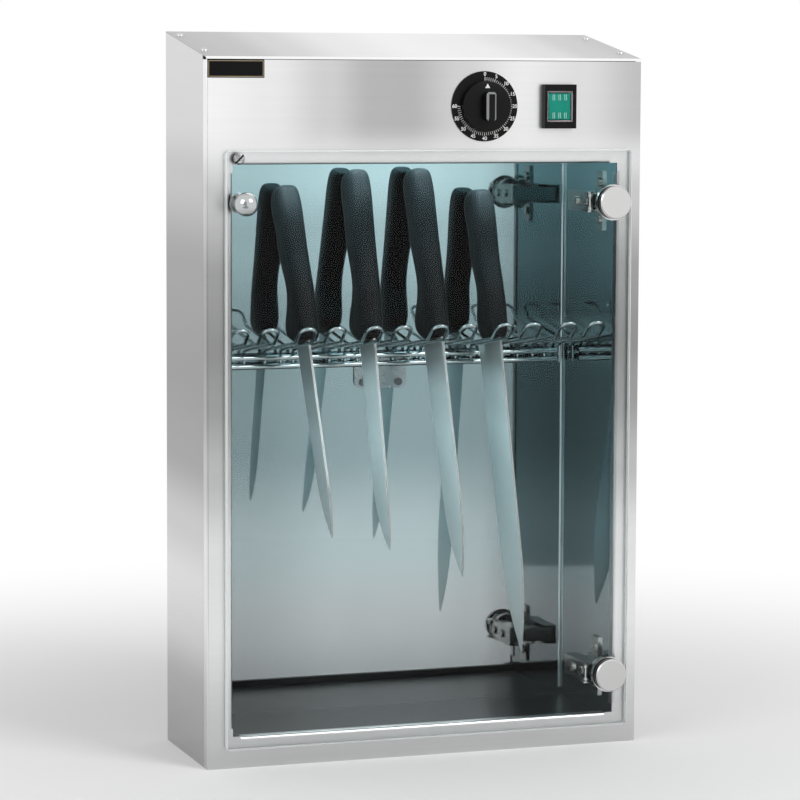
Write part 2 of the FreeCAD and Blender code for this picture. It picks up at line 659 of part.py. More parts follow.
def cable_gland():
    face = (HALF, behind("gland_back"), "front_height - gland_drop")
    dome = (HALF + " + gland_hex", face[1], face[2])
    end = (HALF + " + gland_hex + gland_dome / 2", face[1], face[2])
    nut = (HALF + " - wall - gland_nut", face[1], face[2])
    inner = (HALF + " - wall - gland_inside", face[1], face[2])
    body = join([
        hexagon(face, "+x", "gland_hex_radius", "gland_hex"),
        bar(dome, "+x", "gland_dome_radius", "gland_dome / 2"),
        cone(end, "+x", "gland_dome_radius", "gland_dome_end_radius", "gland_dome / 2"),
        bar(inner, "+x", "gland_radius", "gland_inside + wall"),
        hexagon(nut, "+x", "gland_hex_radius", "gland_nut")])
    return cut(body, [bar(inner, "+x", "gland_bore_radius",
                          "gland_inside + wall + gland_hex + gland_dome")])


node("ballast", ballast())
node("starter_socket", starter_socket())
node("starter", starter())
node("terminal_block", terminal_block())
node("earth_stud", earth_stud())
node("cable_gland", cable_gland())


# The timer
def timer_body():
    square = about(CONTROL_Z, "timer_box")
    case = block(about(TIMER_X, "timer_box"), (behind("wall"), behind("(wall + timer_box_depth)")),
                 square)
    gears = bar((TIMER_X, behind("(wall + timer_box_depth)"), CONTROL_Z), "+y",
                "timer_gear_radius", "timer_gear_depth")
    bore = bar((TIMER_X, FRONT, CONTROL_Z), "+y", "spindle_radius + spindle_gap",
               "spindle_depth + 2 * wall")
    threads = [bar((x, behind("wall"), CONTROL_Z), "+y", "timer_screw_radius",
                   "timer_screw_length") for x in timer_screw_spots()]
    return cut(join([case, gears]), [bore] + threads)


def timer_screws():
    screws = []
    for x in timer_screw_spots():
        screws.append(join([
            cone((x, FRONT, CONTROL_Z), "+y", "timer_screw_head_radius", "timer_screw_radius",
                 "wall"),
            bar((x, behind("wall"), CONTROL_Z), "+y", "timer_screw_radius",
                "timer_screw_length - wall")]))
    return group(screws)


def timer_dial():
    at = (TIMER_X, FRONT, CONTROL_Z)
    return cut(bar(at, "-y", "dial_radius", "dial_thick"),
               [bar(at, "-y", "dial_hole_radius", "dial_thick")])


DISC_BACK = "(dial_thick + disc_gap)"


def timer_spindle():
    at = (TIMER_X, FRONT + " - %s - spindle_hold" % DISC_BACK, CONTROL_Z)
    return bar(at, "+y", "spindle_radius", DISC_BACK + " + spindle_hold + wall + spindle_depth")


def timer_knob():
    back = FRONT + " - " + DISC_BACK
    face = back + " - disc_thick"
    disc = bar((TIMER_X, back, CONTROL_Z), "-y", "disc_radius", "disc_thick")
    grip = prism("XY_Plane", [
        (TIMER_X + " - grip_foot / 2", face), (TIMER_X + " - grip_face / 2", face + " - grip_thick"),
        (TIMER_X + " + grip_face / 2", face + " - grip_thick"), (TIMER_X + " + grip_foot / 2", face)],
        *about(CONTROL_Z, "grip_height"))
    bore = bar((TIMER_X, back, CONTROL_Z), "-y", "spindle_radius", "spindle_hold")
    return cut(join([disc, grip]), [bore])


node("timer_body", timer_body())
node("timer_screws", timer_screws())
node("timer_dial", timer_dial())
node("timer_spindle", timer_spindle())
node("timer_knob", timer_knob())


# The mains switch
WINDOW_FLOOR = FRONT + " - window_floor"
CAP_BACK = FRONT + " - window_floor - rocker_gap"


def rocker_pins(radius, half):
    return bar((SWITCH_X + " - (%s)" % half, behind("rocker_pin_back"), CONTROL_Z), "+x", radius,
               "2 * (%s)" % half)


def switch_housing():
    bezel = block(about(SWITCH_X, "bezel_width"), (FRONT + " - bezel_thick", FRONT),
                  about(CONTROL_Z, "bezel_height"))
    case = block(about(SWITCH_X, "housing_width"), (FRONT, behind("housing_depth")),
                 about(CONTROL_Z, "housing_height"))
    window = block(about(SWITCH_X, "window_width"), (FRONT + " - 2 * bezel_thick", WINDOW_FLOOR),
                   about(CONTROL_Z, "window_height"))
    slot = block(about(SWITCH_X, "housing_width - 2 * housing_wall"),
                 (WINDOW_FLOOR + " - wall", FRONT), about(CONTROL_Z, "stem_slot_height"))
    space = block(about(SWITCH_X, "housing_width - 2 * housing_wall"),
                  (FRONT, behind("housing_depth") + " - housing_wall"),
                  about(CONTROL_Z, "housing_height - 2 * housing_wall"))
    bores = rocker_pins("rocker_pin_radius + rocker_pin_gap", "rocker_pin_half + rocker_pin_gap")
    return cut(join([bezel, case]), [window, slot, space, bores])


def switch_rocker():
    cap = block(about(SWITCH_X, "rocker_width"), (CAP_BACK + " - rocker_thick", CAP_BACK),
                about(CONTROL_Z, "rocker_height"))
    stem = block(about(SWITCH_X, "stem_width"), (CAP_BACK, CAP_BACK + " + stem_length"),
                 about(CONTROL_Z, "stem_height"))
    return join([cap, stem, rocker_pins("rocker_pin_radius", "rocker_pin_half")])


def switch_cover():
    face = FRONT + " - bezel_thick + cover_inset"
    return block(about(SWITCH_X, "window_width"), (face, face + " + cover_thick"),
                 about(CONTROL_Z, "window_height"))


node("switch_housing", switch_housing())
node("switch_rocker", switch_rocker())
node("switch_cover", switch_cover())


# The door switch above the doorway's left corner
TRIP_FRONT = behind("(wall + trip_setback)")
TRIP_BACK = behind("(wall + trip_setback + trip_depth)")


def trip_screws(radius, low, high):
    z = STUD_Z + " + trip_height / 2"
    return [bar(("%s + %d * trip_screw_spacing / 2" % (STUD_X, way),
                 TRIP_FRONT + " + trip_screw_back", z + low), "+z", radius,
                "(%s) - (%s)" % (high, low)) for way in (-1, 1)]


def door_switch_body():
    case = block(about(STUD_X, "trip_length"), (TRIP_FRONT, TRIP_BACK), about(STUD_Z, "trip_height"))
    bore = bar((STUD_X, FRONT, STUD_Z), "+y", "plunger_radius + plunger_gap", "plunger_bore")
    return cut(case, [bore] + trip_screws("trip_screw_radius + trip_screw_gap",
                                          " - trip_height", " + wall"))


def door_switch_bracket():
    top = STUD_Z + " + trip_height / 2"
    shelf = block(about(STUD_X, "trip_length"), (behind("wall"), TRIP_BACK),
                  (top, top + " + trip_bracket"))
    flange = block(about(STUD_X, "trip_length"), (behind("wall"), behind("(wall + trip_bracket)")),
                   (top, top + " + trip_bracket + trip_flange"))
    return cut(join([shelf, flange]), trip_screws("trip_screw_radius + trip_screw_gap",
                                                  " - trip_bracket", " + 2 * trip_bracket"))


def door_switch_screws():
    screws = []
    shanks = trip_screws("trip_screw_radius", " - trip_height", " + trip_bracket")
    heads = trip_screws("trip_screw_head_radius", " + trip_bracket",
                        " + trip_bracket + trip_screw_head")
    for shank, head in zip(shanks, heads):
        screws.append(join([shank, head]))
    return group(screws)


def door_switch_plunger():
    return bar((STUD_X, FRONT + " - plunger_lead", STUD_Z), "+y", "plunger_radius",
               "plunger_length")


node("door_switch_body", door_switch_body())
node("door_switch_bracket", door_switch_bracket())
node("door_switch_screws", door_switch_screws())
node("door_switch_plunger", door_switch_plunger())


# The rack
def rounded(points, radius):
    """Straight runs through the points, with an arc at each inner point."""
    edges = []
    start = points[0]
    for before, corner, after in zip(points, points[1:], points[2:]):
        into = (corner - before).normalize()
        out = (after - corner).normalize()
        half_turn = into.getAngle(out) / 2
        reach = radius * sin(half_turn) / cos(half_turn)
        first = corner - into * reach
        last = corner + out * reach
        inward = (out - into).normalize()
        middle = corner + inward * (radius / cos(half_turn) - radius)
        edges.append(Part.makeLine(start, first))
        edges.append(Part.Arc(first, middle, last).toShape())
        start = last
    edges.append(Part.makeLine(start, points[-1]))
    return edges


def foot_height():
    """Height of a finger's lowest bend at the front."""
    return get("front_height") - get("header") - get("door_top_lap") - get("rack_drop")


def finger(x):
    """One bent wire: up the rear, forward along a leg, round the raised loop and back."""
    half = get("loop_width") / 2
    foot = Vector(0, get("loop_front") + get("loop_run"), foot_height())
    tip = Vector(0, get("loop_front"), foot_height() + get("loop_rise"))
    rear = Vector(0, get("finger_back"), foot_height() - get("leg_drop"))
    tail = rear - Vector(0, 0, get("finger_drop"))
    loop = tip - (tip - foot).normalize() * half
    edges = []
    for side in (-half, half):
        middle = Vector(x + side, -get("depth") / 2, 0)
        leg = rounded([middle + p for p in (tail, rear, foot, loop)], get("leg_bend"))
        edges += leg
    centre = Vector(x, -get("depth") / 2, 0)
    across = Vector(half, 0, 0)
    edges.append(Part.Arc(centre + loop - across, centre + tip, centre + loop + across).toShape())
    path = Part.Wire(Part.__sortEdges__(edges))
    first = path.OrderedVertexes[0].Point
    ring = Part.Wire(Part.makeCircle(get("wire_radius"), first, Vector(0, 0, 1)))
    return path.makePipeShell([ring], True, False)


def rack_fingers():
    wires = []
    for pair in (-2.5, -1.5, -0.5, 0.5, 1.5, 2.5):
        for side in (-0.5, 0.5):
            wires.append(finger(get("rack_centre") + pair * get("pair_pitch")
                                + side * get("finger_pitch")))
    return solid(Part.Compound(wires))


UPPER_ROD = FOOT + " - leg_drop - upper_rod_drop"


def rack_rods():
    start = "-%s + rod_end_gap + rack_centre" % WALL
    return group([bar((start, behind(ROD_BACK), z), "+x", "rod_radius",
                      "2 * %s - 2 * rod_end_gap" % WALL)
                  for z in (UPPER_ROD, UPPER_ROD + " - rod_spacing")])


def rack_bracket():
    x = about("rack_centre", "bracket_width")
    z = (TAIL + " - bracket_drop", TAIL + " - bracket_drop + bracket_height")
    front = CHAMBER + " - bracket_sheet"
    plate = prism("XZ_Plane", [(x[0], z[0]), (x[1], z[0]), (x[1], z[1]), (x[0], z[1])],
                  front, CHAMBER)
    doc.recompute()
    round_off(plate, "bracket_corner", lambda edge: edge.tangentAt(0).y ** 2 > 0.9)
    tongue_x = about("rack_centre", "tongue_width")
    rods = behind(ROD_BACK) + " + rod_radius"
    web = block(tongue_x, (rods, CHAMBER), (TAIL + " - bracket_sheet", TAIL))
    upstand = block(tongue_x, (rods, rods + " + bracket_sheet"),
                    (TAIL + " - bracket_sheet", UPPER_ROD + " + rod_radius"))
    holes = [bar((hole_x, front + " - bracket_sheet", hole_z), "+y",
                 "bracket_screw_radius + bracket_screw_gap", "3 * bracket_sheet")
             for hole_x, hole_z in bracket_screw_spots()]
    return cut(join([plate, web, upstand]), holes)


def round_off(body, radius, chosen):
    """Round the chosen edges of a body."""
    tip = body.Tip
    fillet = body.newObject("PartDesign::Fillet", "fillet_%04d" % len(doc.Objects))
    names = ["Edge%d" % (i + 1) for i, edge in enumerate(tip.Shape.Edges) if chosen(edge)]
    fillet.Base = (tip, names)
    bind(fillet, "Radius", radius)
    body.Tip = fillet


def bracket_screws():
    screws = []
    front = CHAMBER + " - bracket_sheet"
    for x, z in bracket_screw_spots():
        screws.append(join([
            bar((x, front, z), "-y", "bracket_screw_head_radius", "bracket_screw_head"),
            bar((x, front, z), "+y", "bracket_screw_radius", "bracket_screw_length")]))
    return group(screws)


rack = rack_fingers()
node("rack_fingers", rack)
node("rack_rods", rack_rods())
node("rack_bracket", rack_bracket())
node("rack_bracket_screws", bracket_screws())


# The hinges
def both(make):
    return group([make(z) for z in HINGES.values()])


def cup(z):
    front = (HINGE_X, DOOR_FACE, z)
    shell = join([bar(front, "+y", "cup_radius", "door_thick + cup_depth"),
                  bar((HINGE_X, DOOR_BACK, z), "+y", "clamp_ring_radius", "clamp_ring")])
    lugs = [bar((CUP_PIN_X, behind("cup_pin_back"), z + side), "+z", "pin_lug_radius",
                "cup_pin_half - cup_slot / 2") for side in (" - cup_pin_half", " + cup_slot / 2")]
    space = bar((HINGE_X, DOOR_FACE + " + cup_wall", z), "+y", "cup_radius - cup_wall",
                "door_thick + cup_depth")
    slot = block(about(HINGE_X, "2 * cup_radius + 2 * cup_slot_clearance"),
                 (DOOR_BACK + " + clamp_ring", DOOR_BACK + " + cup_depth + cup_slot_clearance"),
                 about(z, "cup_slot"))
    pin = bar((CUP_PIN_X, behind("cup_pin_back"), z + " - cup_radius"), "+z",
              "pin_radius + pin_gap", "2 * cup_radius")
    return cut(join([cut(shell, [space, slot])] + lugs), [pin])


def cup_pin(z):
    return bar((CUP_PIN_X, behind("cup_pin_back"), z + " - cup_pin_half"), "+z", "pin_radius",
               "2 * cup_pin_half")


def hinge_cap(z):
    groove = DOOR_FACE + " - cap_flange"
    disc = groove + " - cap_groove"
    edge = disc + " - cap_thick + cap_edge"
    return join([bar((HINGE_X, DOOR_FACE, z), "-y", "cap_flange_radius", "cap_flange"),
                 bar((HINGE_X, groove, z), "-y", "cap_groove_radius", "cap_groove"),
                 bar((HINGE_X, disc, z), "-y", "cap_radius", "cap_thick - cap_edge"),
                 cone((HINGE_X, edge, z), "-y", "cap_radius", "cap_radius - cap_edge",
                      "cap_edge")])


def arm_screw_backs():
    return ("arm_start + arm_screw_start", "plate_setback")


def arm(z):
    near = ARM_PIN_X + " - ear_side"
    far = ARM_PIN_X + " + ear_lap"
    end = behind("(arm_start + arm_length)")
    profile = [(near, behind("ear_front")), (far, behind("ear_front")),
               (far, behind("ear_step")), (ARM_FACE + " + arm_depth", behind("ear_step")),
               (ARM_FACE + " + arm_depth", end), (ARM_FACE, end),
               (ARM_FACE, behind("arm_start")), (near, behind("arm_start"))]
    ears = [prism("XY_Plane", profile, z + " + arm_height / 2 - arm_sheet",
                  z + " + arm_height / 2"),
            prism("XY_Plane", profile, z + " - arm_height / 2",
                  z + " - arm_height / 2 + arm_sheet")]
    web = block((ARM_FACE, ARM_FACE + " + arm_sheet"), (behind("arm_start"), end),
                about(z, "arm_height"))
    holes = [bar((ARM_PIN_X, behind("arm_pin_back"), z + " - arm_height"), "+z",
                 "pin_radius + pin_gap", "2 * arm_height")]
    for back in arm_screw_backs():
        holes.append(bar((ARM_FACE + " - arm_sheet", behind("(%s)" % back), z), "+x",
                         "hinge_screw_radius + hinge_screw_gap", "3 * arm_sheet"))
    return cut(join(ears + [web]), holes)


def arm_pin(z):
    return bar((ARM_PIN_X, behind("arm_pin_back"), z + " - arm_height / 2"), "+z", "pin_radius",
               "arm_height")


def mounting_plate(z):
    x = (WALL + " - plate_thick", WALL)
    middle = behind("plate_setback")
    plate = block(x, about(middle, "plate_bar"), about(z, "plate_bar_height"))
    wing = block(x, about(middle, "plate_wing_width"), about(z, "plate_wing"))
    rib = block((ARM_FACE + " + arm_sheet", x[0]), about(middle, "rib_length"),
                about(z, "rib_height"))
    holes = [bar((WALL + " - 2 * plate_thick", middle, "%s + %d * plate_screw_spacing / 2" % (z, way)),
                 "+x", "hinge_screw_radius + hinge_screw_gap", "3 * plate_thick")
             for way in (-1, 1)]
    holes.append(bar((ARM_FACE, middle, z), "+x", "hinge_screw_radius", "hinge_screw_length"))
    return cut(join([plate, wing, rib]), holes)


def hinge_screw(x, y, z, length):
    return join([bar((x, y, z), "-x", "hinge_screw_head_radius", "hinge_screw_head"),
                 bar((x, y, z), "+x", "hinge_screw_radius", length)])


def hinge_screws():
    screws = [hinge_screw(WALL + " - plate_thick", y, z, "hinge_screw_length")
              for y, z in plate_screw_spots()]
    for z in HINGES.values():
        start, middle = arm_screw_backs()
        screws.append(hinge_screw(ARM_FACE, behind("(%s)" % start), z, "hinge_screw_length / 2"))
        screws.append(hinge_screw(ARM_FACE, behind(middle), z, "hinge_screw_length"))
    return group(screws)


def link(low):
    """One flat link, above a height, between the arm's pin and the cup's pin."""
    high = low + " + link_sheet"
    a = (ARM_PIN_X, behind("arm_pin_back"))
    c = (CUP_PIN_X, behind("cup_pin_back"))
    thick = "link_sheet"
    eyes = [bar((x, y, low), "+z", "link_eye", thick) for x, y in (a, c)]
    strap = prism("XY_Plane", [(a[0], a[1] + " - link_eye"), (c[0], c[1] + " - link_eye"),
                               (c[0], c[1] + " + link_eye"), (a[0], a[1] + " + link_eye")],
                  low, high)
    bores = [bar((x, y, low), "+z", "pin_radius", thick) for x, y in (a, c)]
    return cut(join(eyes + [strap]), bores)


node("hinge_cups", both(cup))
node("hinge_cup_pins", both(cup_pin))
node("hinge_caps", both(hinge_cap))
node("hinge_arms", both(arm))
node("hinge_arm_pins", both(arm_pin))
node("hinge_plates", both(mounting_plate))
node("hinge_screws", hinge_screws())
node("hinge_links", group([link(z + side) for z in HINGES.values()
                           for side in (" - link_far", " + link_far - link_sheet")]))


# The clear door and what it carries
def door_sheet():
    body = prism("XZ_Plane", [(DOOR_LEFT, "door_foot_gap"), (DOOR_RIGHT, "door_foot_gap"),
                              (DOOR_RIGHT, DOOR_TOP), (DOOR_LEFT, DOOR_TOP)],
                 DOOR_FACE, DOOR_BACK)
    doc.recompute()
    round_off(body, "door_corner", lambda edge: edge.tangentAt(0).y ** 2 > 0.9)
    doc.recompute()
    tip = body.Tip
    front = min(vertex.Point.y for vertex in tip.Shape.Vertexes)
    names = ["Edge%d" % (i + 1) for i, edge in enumerate(tip.Shape.Edges)
             if edge.BoundBox.YMax < front + 0.01]
    bevel = body.newObject("PartDesign::Chamfer", "bevel")
    bevel.Base = (tip, names)
    bind(bevel, "Size", "door_bevel")
    body.Tip = bevel
    through = "3 * door_thick"
    start = DOOR_FACE + " - door_thick"
    holes = [bar((HINGE_X, start, z), "+y", "cup_radius + cup_hole_gap", through)
             for z in HINGES.values()]
    holes.append(bar((KNOB_X, start, KNOB_Z), "+y", "door_screw_radius + door_screw_gap", through))
    holes.append(bar((STUD_X, start, STUD_Z), "+y", "stud_radius", through))
    return cut(body, holes)


def door_knob():
    neck = DOOR_FACE + " - knob_flange"
    body = join([bar((KNOB_X, DOOR_FACE, KNOB_Z), "-y", "knob_flange_radius", "knob_flange"),
                 bar((KNOB_X, neck, KNOB_Z), "-y", "knob_neck_radius", "knob_reach - knob_flange"),
                 ball((KNOB_X, DOOR_FACE + " - knob_reach", KNOB_Z), "knob_ball_radius")])
    return cut(body, [bar((KNOB_X, DOOR_FACE, KNOB_Z), "-y", "door_screw_radius",
                          "door_screw_grip")])


def door_knob_screw():
    return join([bar((KNOB_X, DOOR_BACK, KNOB_Z), "+y", "door_screw_head_radius",
                     "door_screw_head"),
                 bar((KNOB_X, DOOR_BACK, KNOB_Z), "-y", "door_screw_radius",
                     "door_thick + door_screw_grip")])


def door_stud():
    at = (STUD_X, DOOR_FACE, STUD_Z)
    body = join([
        cone(at, "-y", "stud_head_radius", "stud_head_radius - stud_head / 2", "stud_head"),
        bar(at, "+y", "stud_radius", "door_thick + stud_tip")])
    slot = item("Part::Box")
    bind(slot, "Length", "4 * stud_head_radius")
    bind(slot, "Width", "2 * stud_slot_depth")
    bind(slot, "Height", "stud_slot")
    slot.Placement = Placement(Vector(), Rotation(Vector(0, 1, 0), 45))
    half = "(2 * stud_head_radius * 0.70710678"
    bind(slot, "Placement.Base.x", STUD_X + " - " + half + " + stud_slot / 2 * 0.70710678)")
    bind(slot, "Placement.Base.y", DOOR_FACE + " - stud_head - stud_slot_depth")
    bind(slot, "Placement.Base.z", STUD_Z + " + " + half + " - stud_slot / 2 * 0.70710678)")
    return cut(body, [slot])


node("door_sheet", door_sheet())
node("door_knob", door_knob())
node("door_knob_screw", door_knob_screw())
node("door_stud", door_stud())


# The knives
def knife_frame(number):
    """Placement of a knife: its guard's middle, with local Z up the handle."""
    lean = radians(get("lean_%d" % number))
    rear = get("guard_heel") * cos(lean)
    back = get("guard_back_%d" % number)
    slope = get("leg_drop") / (get("finger_back") - get("loop_front") - get("loop_run"))
    run = back + rear - get("loop_front") - get("loop_run")
    wire_top = foot_height() - slope * run + get("wire_radius") * hypot(1, slope)
    height = wire_top + get("lowering") + get("guard_heel") * sin(lean)
    middle = get("rack_centre") + (number - 2.5) * get("pair_pitch")
    turn = (Rotation(Vector(0, 1, 0), -get("side_lean_%d" % number))
            * Rotation(Vector(1, 0, 0), -degrees(lean)) * Rotation(Vector(0, 0, 1), get("twist")))
    place = Vector(middle + get("guard_aside_%d" % number), back - get("depth") / 2, height)
    return Placement(place, turn)


def handle_section(height, front, rear, thick):
    """A closed curve across the handle, square-shouldered with round corners."""
    middle = (front + rear) / 2
    points = []
    for step in range(12):
        turn = 2 * pi * step / 12
        across = abs(cos(turn)) ** (2 / 3) * (1 if cos(turn) > 0 else -1)
        along = abs(sin(turn)) ** (2 / 3) * (1 if sin(turn) > 0 else -1)
        points.append(Vector(across * thick / 2, middle + along * (rear - front) / 2, height))
    curve = Part.BSplineCurve()
    curve.interpolate(points, PeriodicFlag=True)
    return Part.Wire(curve.toShape())


def knife_handle(number):
    length = get("handle_length_%d" % number)
    thick = get("handle_thick")
    front = -get("handle_front")
    neck = get("neck_rear")
    palm = get("palm_rear")
    butt = get("butt_rear")
    swell = get("handle_swell")
    end = get("end_round")
    flare = neck + get("flare_%d" % number)
    bow = get("bow_%d" % number)
    stations = [(0, front + 2 * end, get("heel_rear"), 0.72),
                (0.05, front, (get("heel_rear") + flare) / 2 + end, 0.92),
                (0.13, front, flare, 1), (0.21, front, (neck + flare) / 2, 1),
                (0.32, front + swell, neck, 0.96), (0.55, front + swell + bow, palm + bow, 1),
                (0.78, front + bow, butt + bow, 1),
                (0.93, front + swell + 1.5 * bow, butt + 1.5 * bow, 0.98),
                (0.98, front + end + 1.5 * bow, butt - end + 1.5 * bow, 0.84),
                (1, front + 2.5 * end + 1.5 * bow, butt - 2.5 * end + 1.5 * bow, 0.55)]
    sections = [handle_section(share * length, low, high, thick * part)
                for share, low, high, part in stations]
    handle = Part.makeLoft(sections, True)
    tang = Part.makeBox(get("blade_thick"), get("tang_width"), get("tang_length") * 2,
                        Vector(-get("blade_thick") / 2, -get("tang_width") / 2,
                               -get("tang_length")))
    return handle.cut(tang)


def knife_blade(number):
    """A blade whose edge runs straight for two thirds and then curves to the point."""
    length = get("blade_length_%d" % number)
    thick = get("blade_thick")
    spine = -get("blade_front_%d" % number)
    edge = spine + get("blade_width_%d" % number)
    shoulder = edge - get("blade_taper_%d" % number)
    tip = get("tip_back_%d" % number)
    belly = (shoulder + tip) / 2 + 0.26 * (shoulder - tip)
    ridge = (spine + tip) / 2 - 0.3 * (tip - spine)
    places = [(spine, 0), (spine, -0.65), (ridge, -0.825), (tip, -1), (belly, -0.825),
              (shoulder, -0.65), (edge, -0.05), (edge - get("end_round"), 0)]
    corner = [Vector(-thick / 2, across, share * length) for across, share in places]
    rim = [Part.makeLine(corner[0], corner[1]),
           Part.Arc(corner[1], corner[2], corner[3]).toShape(),
           Part.Arc(corner[3], corner[4], corner[5]).toShape(),
           Part.makeLine(corner[5], corner[6]), Part.makeLine(corner[6], corner[7]),
           Part.makeLine(corner[7], corner[0])]
    plate = Part.Face(Part.Wire(rim)).extrude(Vector(thick, 0, 0))
    tang = Part.makeBox(thick, get("tang_width"), get("tang_length"),
                        Vector(-thick / 2, -get("tang_width") / 2, 0))
    return plate.fuse(tang).removeSplitter()


def rested(number, handle):
    """Placement of a knife lowered until its guard lies on the rack's wires."""
    where = knife_frame(number)
    for _ in range(8):
        handle.Placement = where
        where.Base = where.Base - Vector(0, 0, handle.distToShape(wires)[0])
    return where


wires = rack.Shape
for number in range(1, 5):
    handle = knife_handle(number)
    where = rested(number, handle)
    node("knife_%d_handle" % number, solid(handle, where))
    node("knife_%d_blade" % number, solid(knife_blade(number), where))


# Check every piece, then write one file for each sub-part
doc.recompute()
faults = [thing.Label for thing in doc.Objects
          if "Invalid" in thing.State or "Error" in thing.State]
for thing in nodes:
    if thing.Shape.isNull() or not thing.Shape.isValid() or not thing.Shape.Solids:
        faults.append(thing.Label)
if faults:
    raise RuntimeError("pieces that failed: " + ", ".join(faults))
for thing in nodes:
    thing.Shape.exportStep(os.path.join("parts", thing.Label + ".step"))
print(len(nodes), "sub-parts written")
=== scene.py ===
# %% [markdown]
# # A knife sterilizer, dressed for its picture
# The object is a wall cabinet of brushed stainless steel with a clear hinged door. A timer and a
# mains switch sit above the door, and four knives hang inside on a rack of chromed wire.
# The shape of every sub-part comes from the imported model, which is loaded as a fixed frame.
# This script gives each sub-part its finish, and models the few pieces whose detail is too fine
# for the frame: ground blades, the printed dial, its knob and pointer, the switch's lining and
# lit rocker, the line round the blank plate and the bent corners of the chamber.

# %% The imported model
import bpy
from math import cos, radians, sin
from mathutils import Matrix, Vector


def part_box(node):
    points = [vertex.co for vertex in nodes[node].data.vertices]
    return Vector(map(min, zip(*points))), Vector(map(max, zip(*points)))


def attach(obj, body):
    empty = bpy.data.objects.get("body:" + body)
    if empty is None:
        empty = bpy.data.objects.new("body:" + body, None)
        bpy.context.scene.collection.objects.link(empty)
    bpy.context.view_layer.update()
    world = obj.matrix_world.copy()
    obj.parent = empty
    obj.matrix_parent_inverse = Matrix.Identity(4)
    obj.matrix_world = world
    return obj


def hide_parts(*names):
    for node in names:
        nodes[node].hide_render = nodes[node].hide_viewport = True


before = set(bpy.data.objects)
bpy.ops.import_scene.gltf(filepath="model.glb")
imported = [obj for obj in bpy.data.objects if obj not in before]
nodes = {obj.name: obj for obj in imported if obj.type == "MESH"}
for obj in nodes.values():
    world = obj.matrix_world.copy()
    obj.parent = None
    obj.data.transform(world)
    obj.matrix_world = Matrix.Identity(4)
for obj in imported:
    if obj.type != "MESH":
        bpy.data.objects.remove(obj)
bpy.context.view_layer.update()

# %% [markdown]
# ## The camera
# The photograph looks at the cabinet from its left, from a little over two and a half metres, with
# a long lens. The corners of the casing, the door and the dial were matched to their places in
# the picture, and the camera below is the one that brings them together within a pixel or two.
# Its focal length and shifts are given in pixels of the photograph, which is 800 pixels wide.
# A camera could also be aimed with a constraint, but a matched camera needs its exact axes, so
# the rotation is built from them. The small upward shift keeps the casing's edges as upright as
# they are in the photograph.

# %% Camera
camera_place = Vector((-0.896, -2.584, 0.581))
yaw, pitch, roll = radians(19.10), radians(-5.10), radians(0.23)
focal_pixels, picture_side, sensor = 3151, 800, 36
shift_right, shift_up = -1.4, -41.1
nearest, farthest = 0.1, 60
ahead = Vector((sin(yaw) * cos(pitch), cos(yaw) * cos(pitch), sin(pitch)))
level = Vector((cos(yaw), -sin(yaw), 0))
upright = level.cross(ahead)
right = level * cos(roll) + upright * sin(roll)
up = upright * cos(roll) - level * sin(roll)
lens = bpy.data.cameras.new("camera")
lens.sensor_width = sensor
lens.lens = focal_pixels / picture_side * sensor
lens.shift_x = shift_right / picture_side
lens.shift_y = shift_up / picture_side
lens.clip_start, lens.clip_end = nearest, farthest
camera = bpy.data.objects.new("camera", lens)
bpy.context.collection.objects.link(camera)
camera.matrix_world = Matrix((right, up, -ahead)).transposed().to_4x4()
camera.location = camera_place
bpy.context.scene.camera = camera
bpy.context.scene.view_settings.view_transform = "Standard"
print("lens: %.1f mm" % lens.lens)

# %% [markdown]
# ## Shader arithmetic
# A finish such as brushed steel is a small calculation that is done at every point of the
# surface. Written as nodes it soon becomes hard to read, so a socket is wrapped in a class whose
# plus, minus, times and divide signs add the Math nodes. Every other node comes from one method.

# %% A socket that can be calculated with
class Value:
    """A socket of a finish. Arithmetic on it adds Math nodes."""

    def __init__(self, finish, socket):
        self.finish = finish
        self.socket = socket

    def __add__(self, other):
        return self.finish.math("ADD", self, other)

    def __sub__(self, other):
        return self.finish.math("SUBTRACT", self, other)

    def __mul__(self, other):
        return self.finish.math("MULTIPLY", self, other)

    def __truediv__(self, other):
        return self.finish.math("DIVIDE", self, other)

    def __radd__(self, other):
        return self.finish.math("ADD", other, self)

    def __rsub__(self, other):
        return self.finish.math("SUBTRACT", other, self)

    def __rmul__(self, other):
        return self.finish.math("MULTIPLY", other, self)

    def __abs__(self):
        return self.finish.math("ABSOLUTE", self)

    def at_least(self, other):
        return self.finish.math("MAXIMUM", self, other)

    def above(self, start, end):
        """0 below start, 1 beyond end and a soft step between them."""
        settings = {"interpolation_type": "SMOOTHSTEP"}
        return self.finish.node("MapRange", settings, {"Value": self, "From Min": start,
                                                       "From Max": end})


# %% [markdown]
# A finish owns those sockets. Its methods add the kinds of node that the object needs: soft
# noise, slow tones along an axis, blends, a bump and the usual shader. They all go through
# node(), which sets a node's settings first and then its sockets, with a link where a socket is
# given a Value and a constant elsewhere.

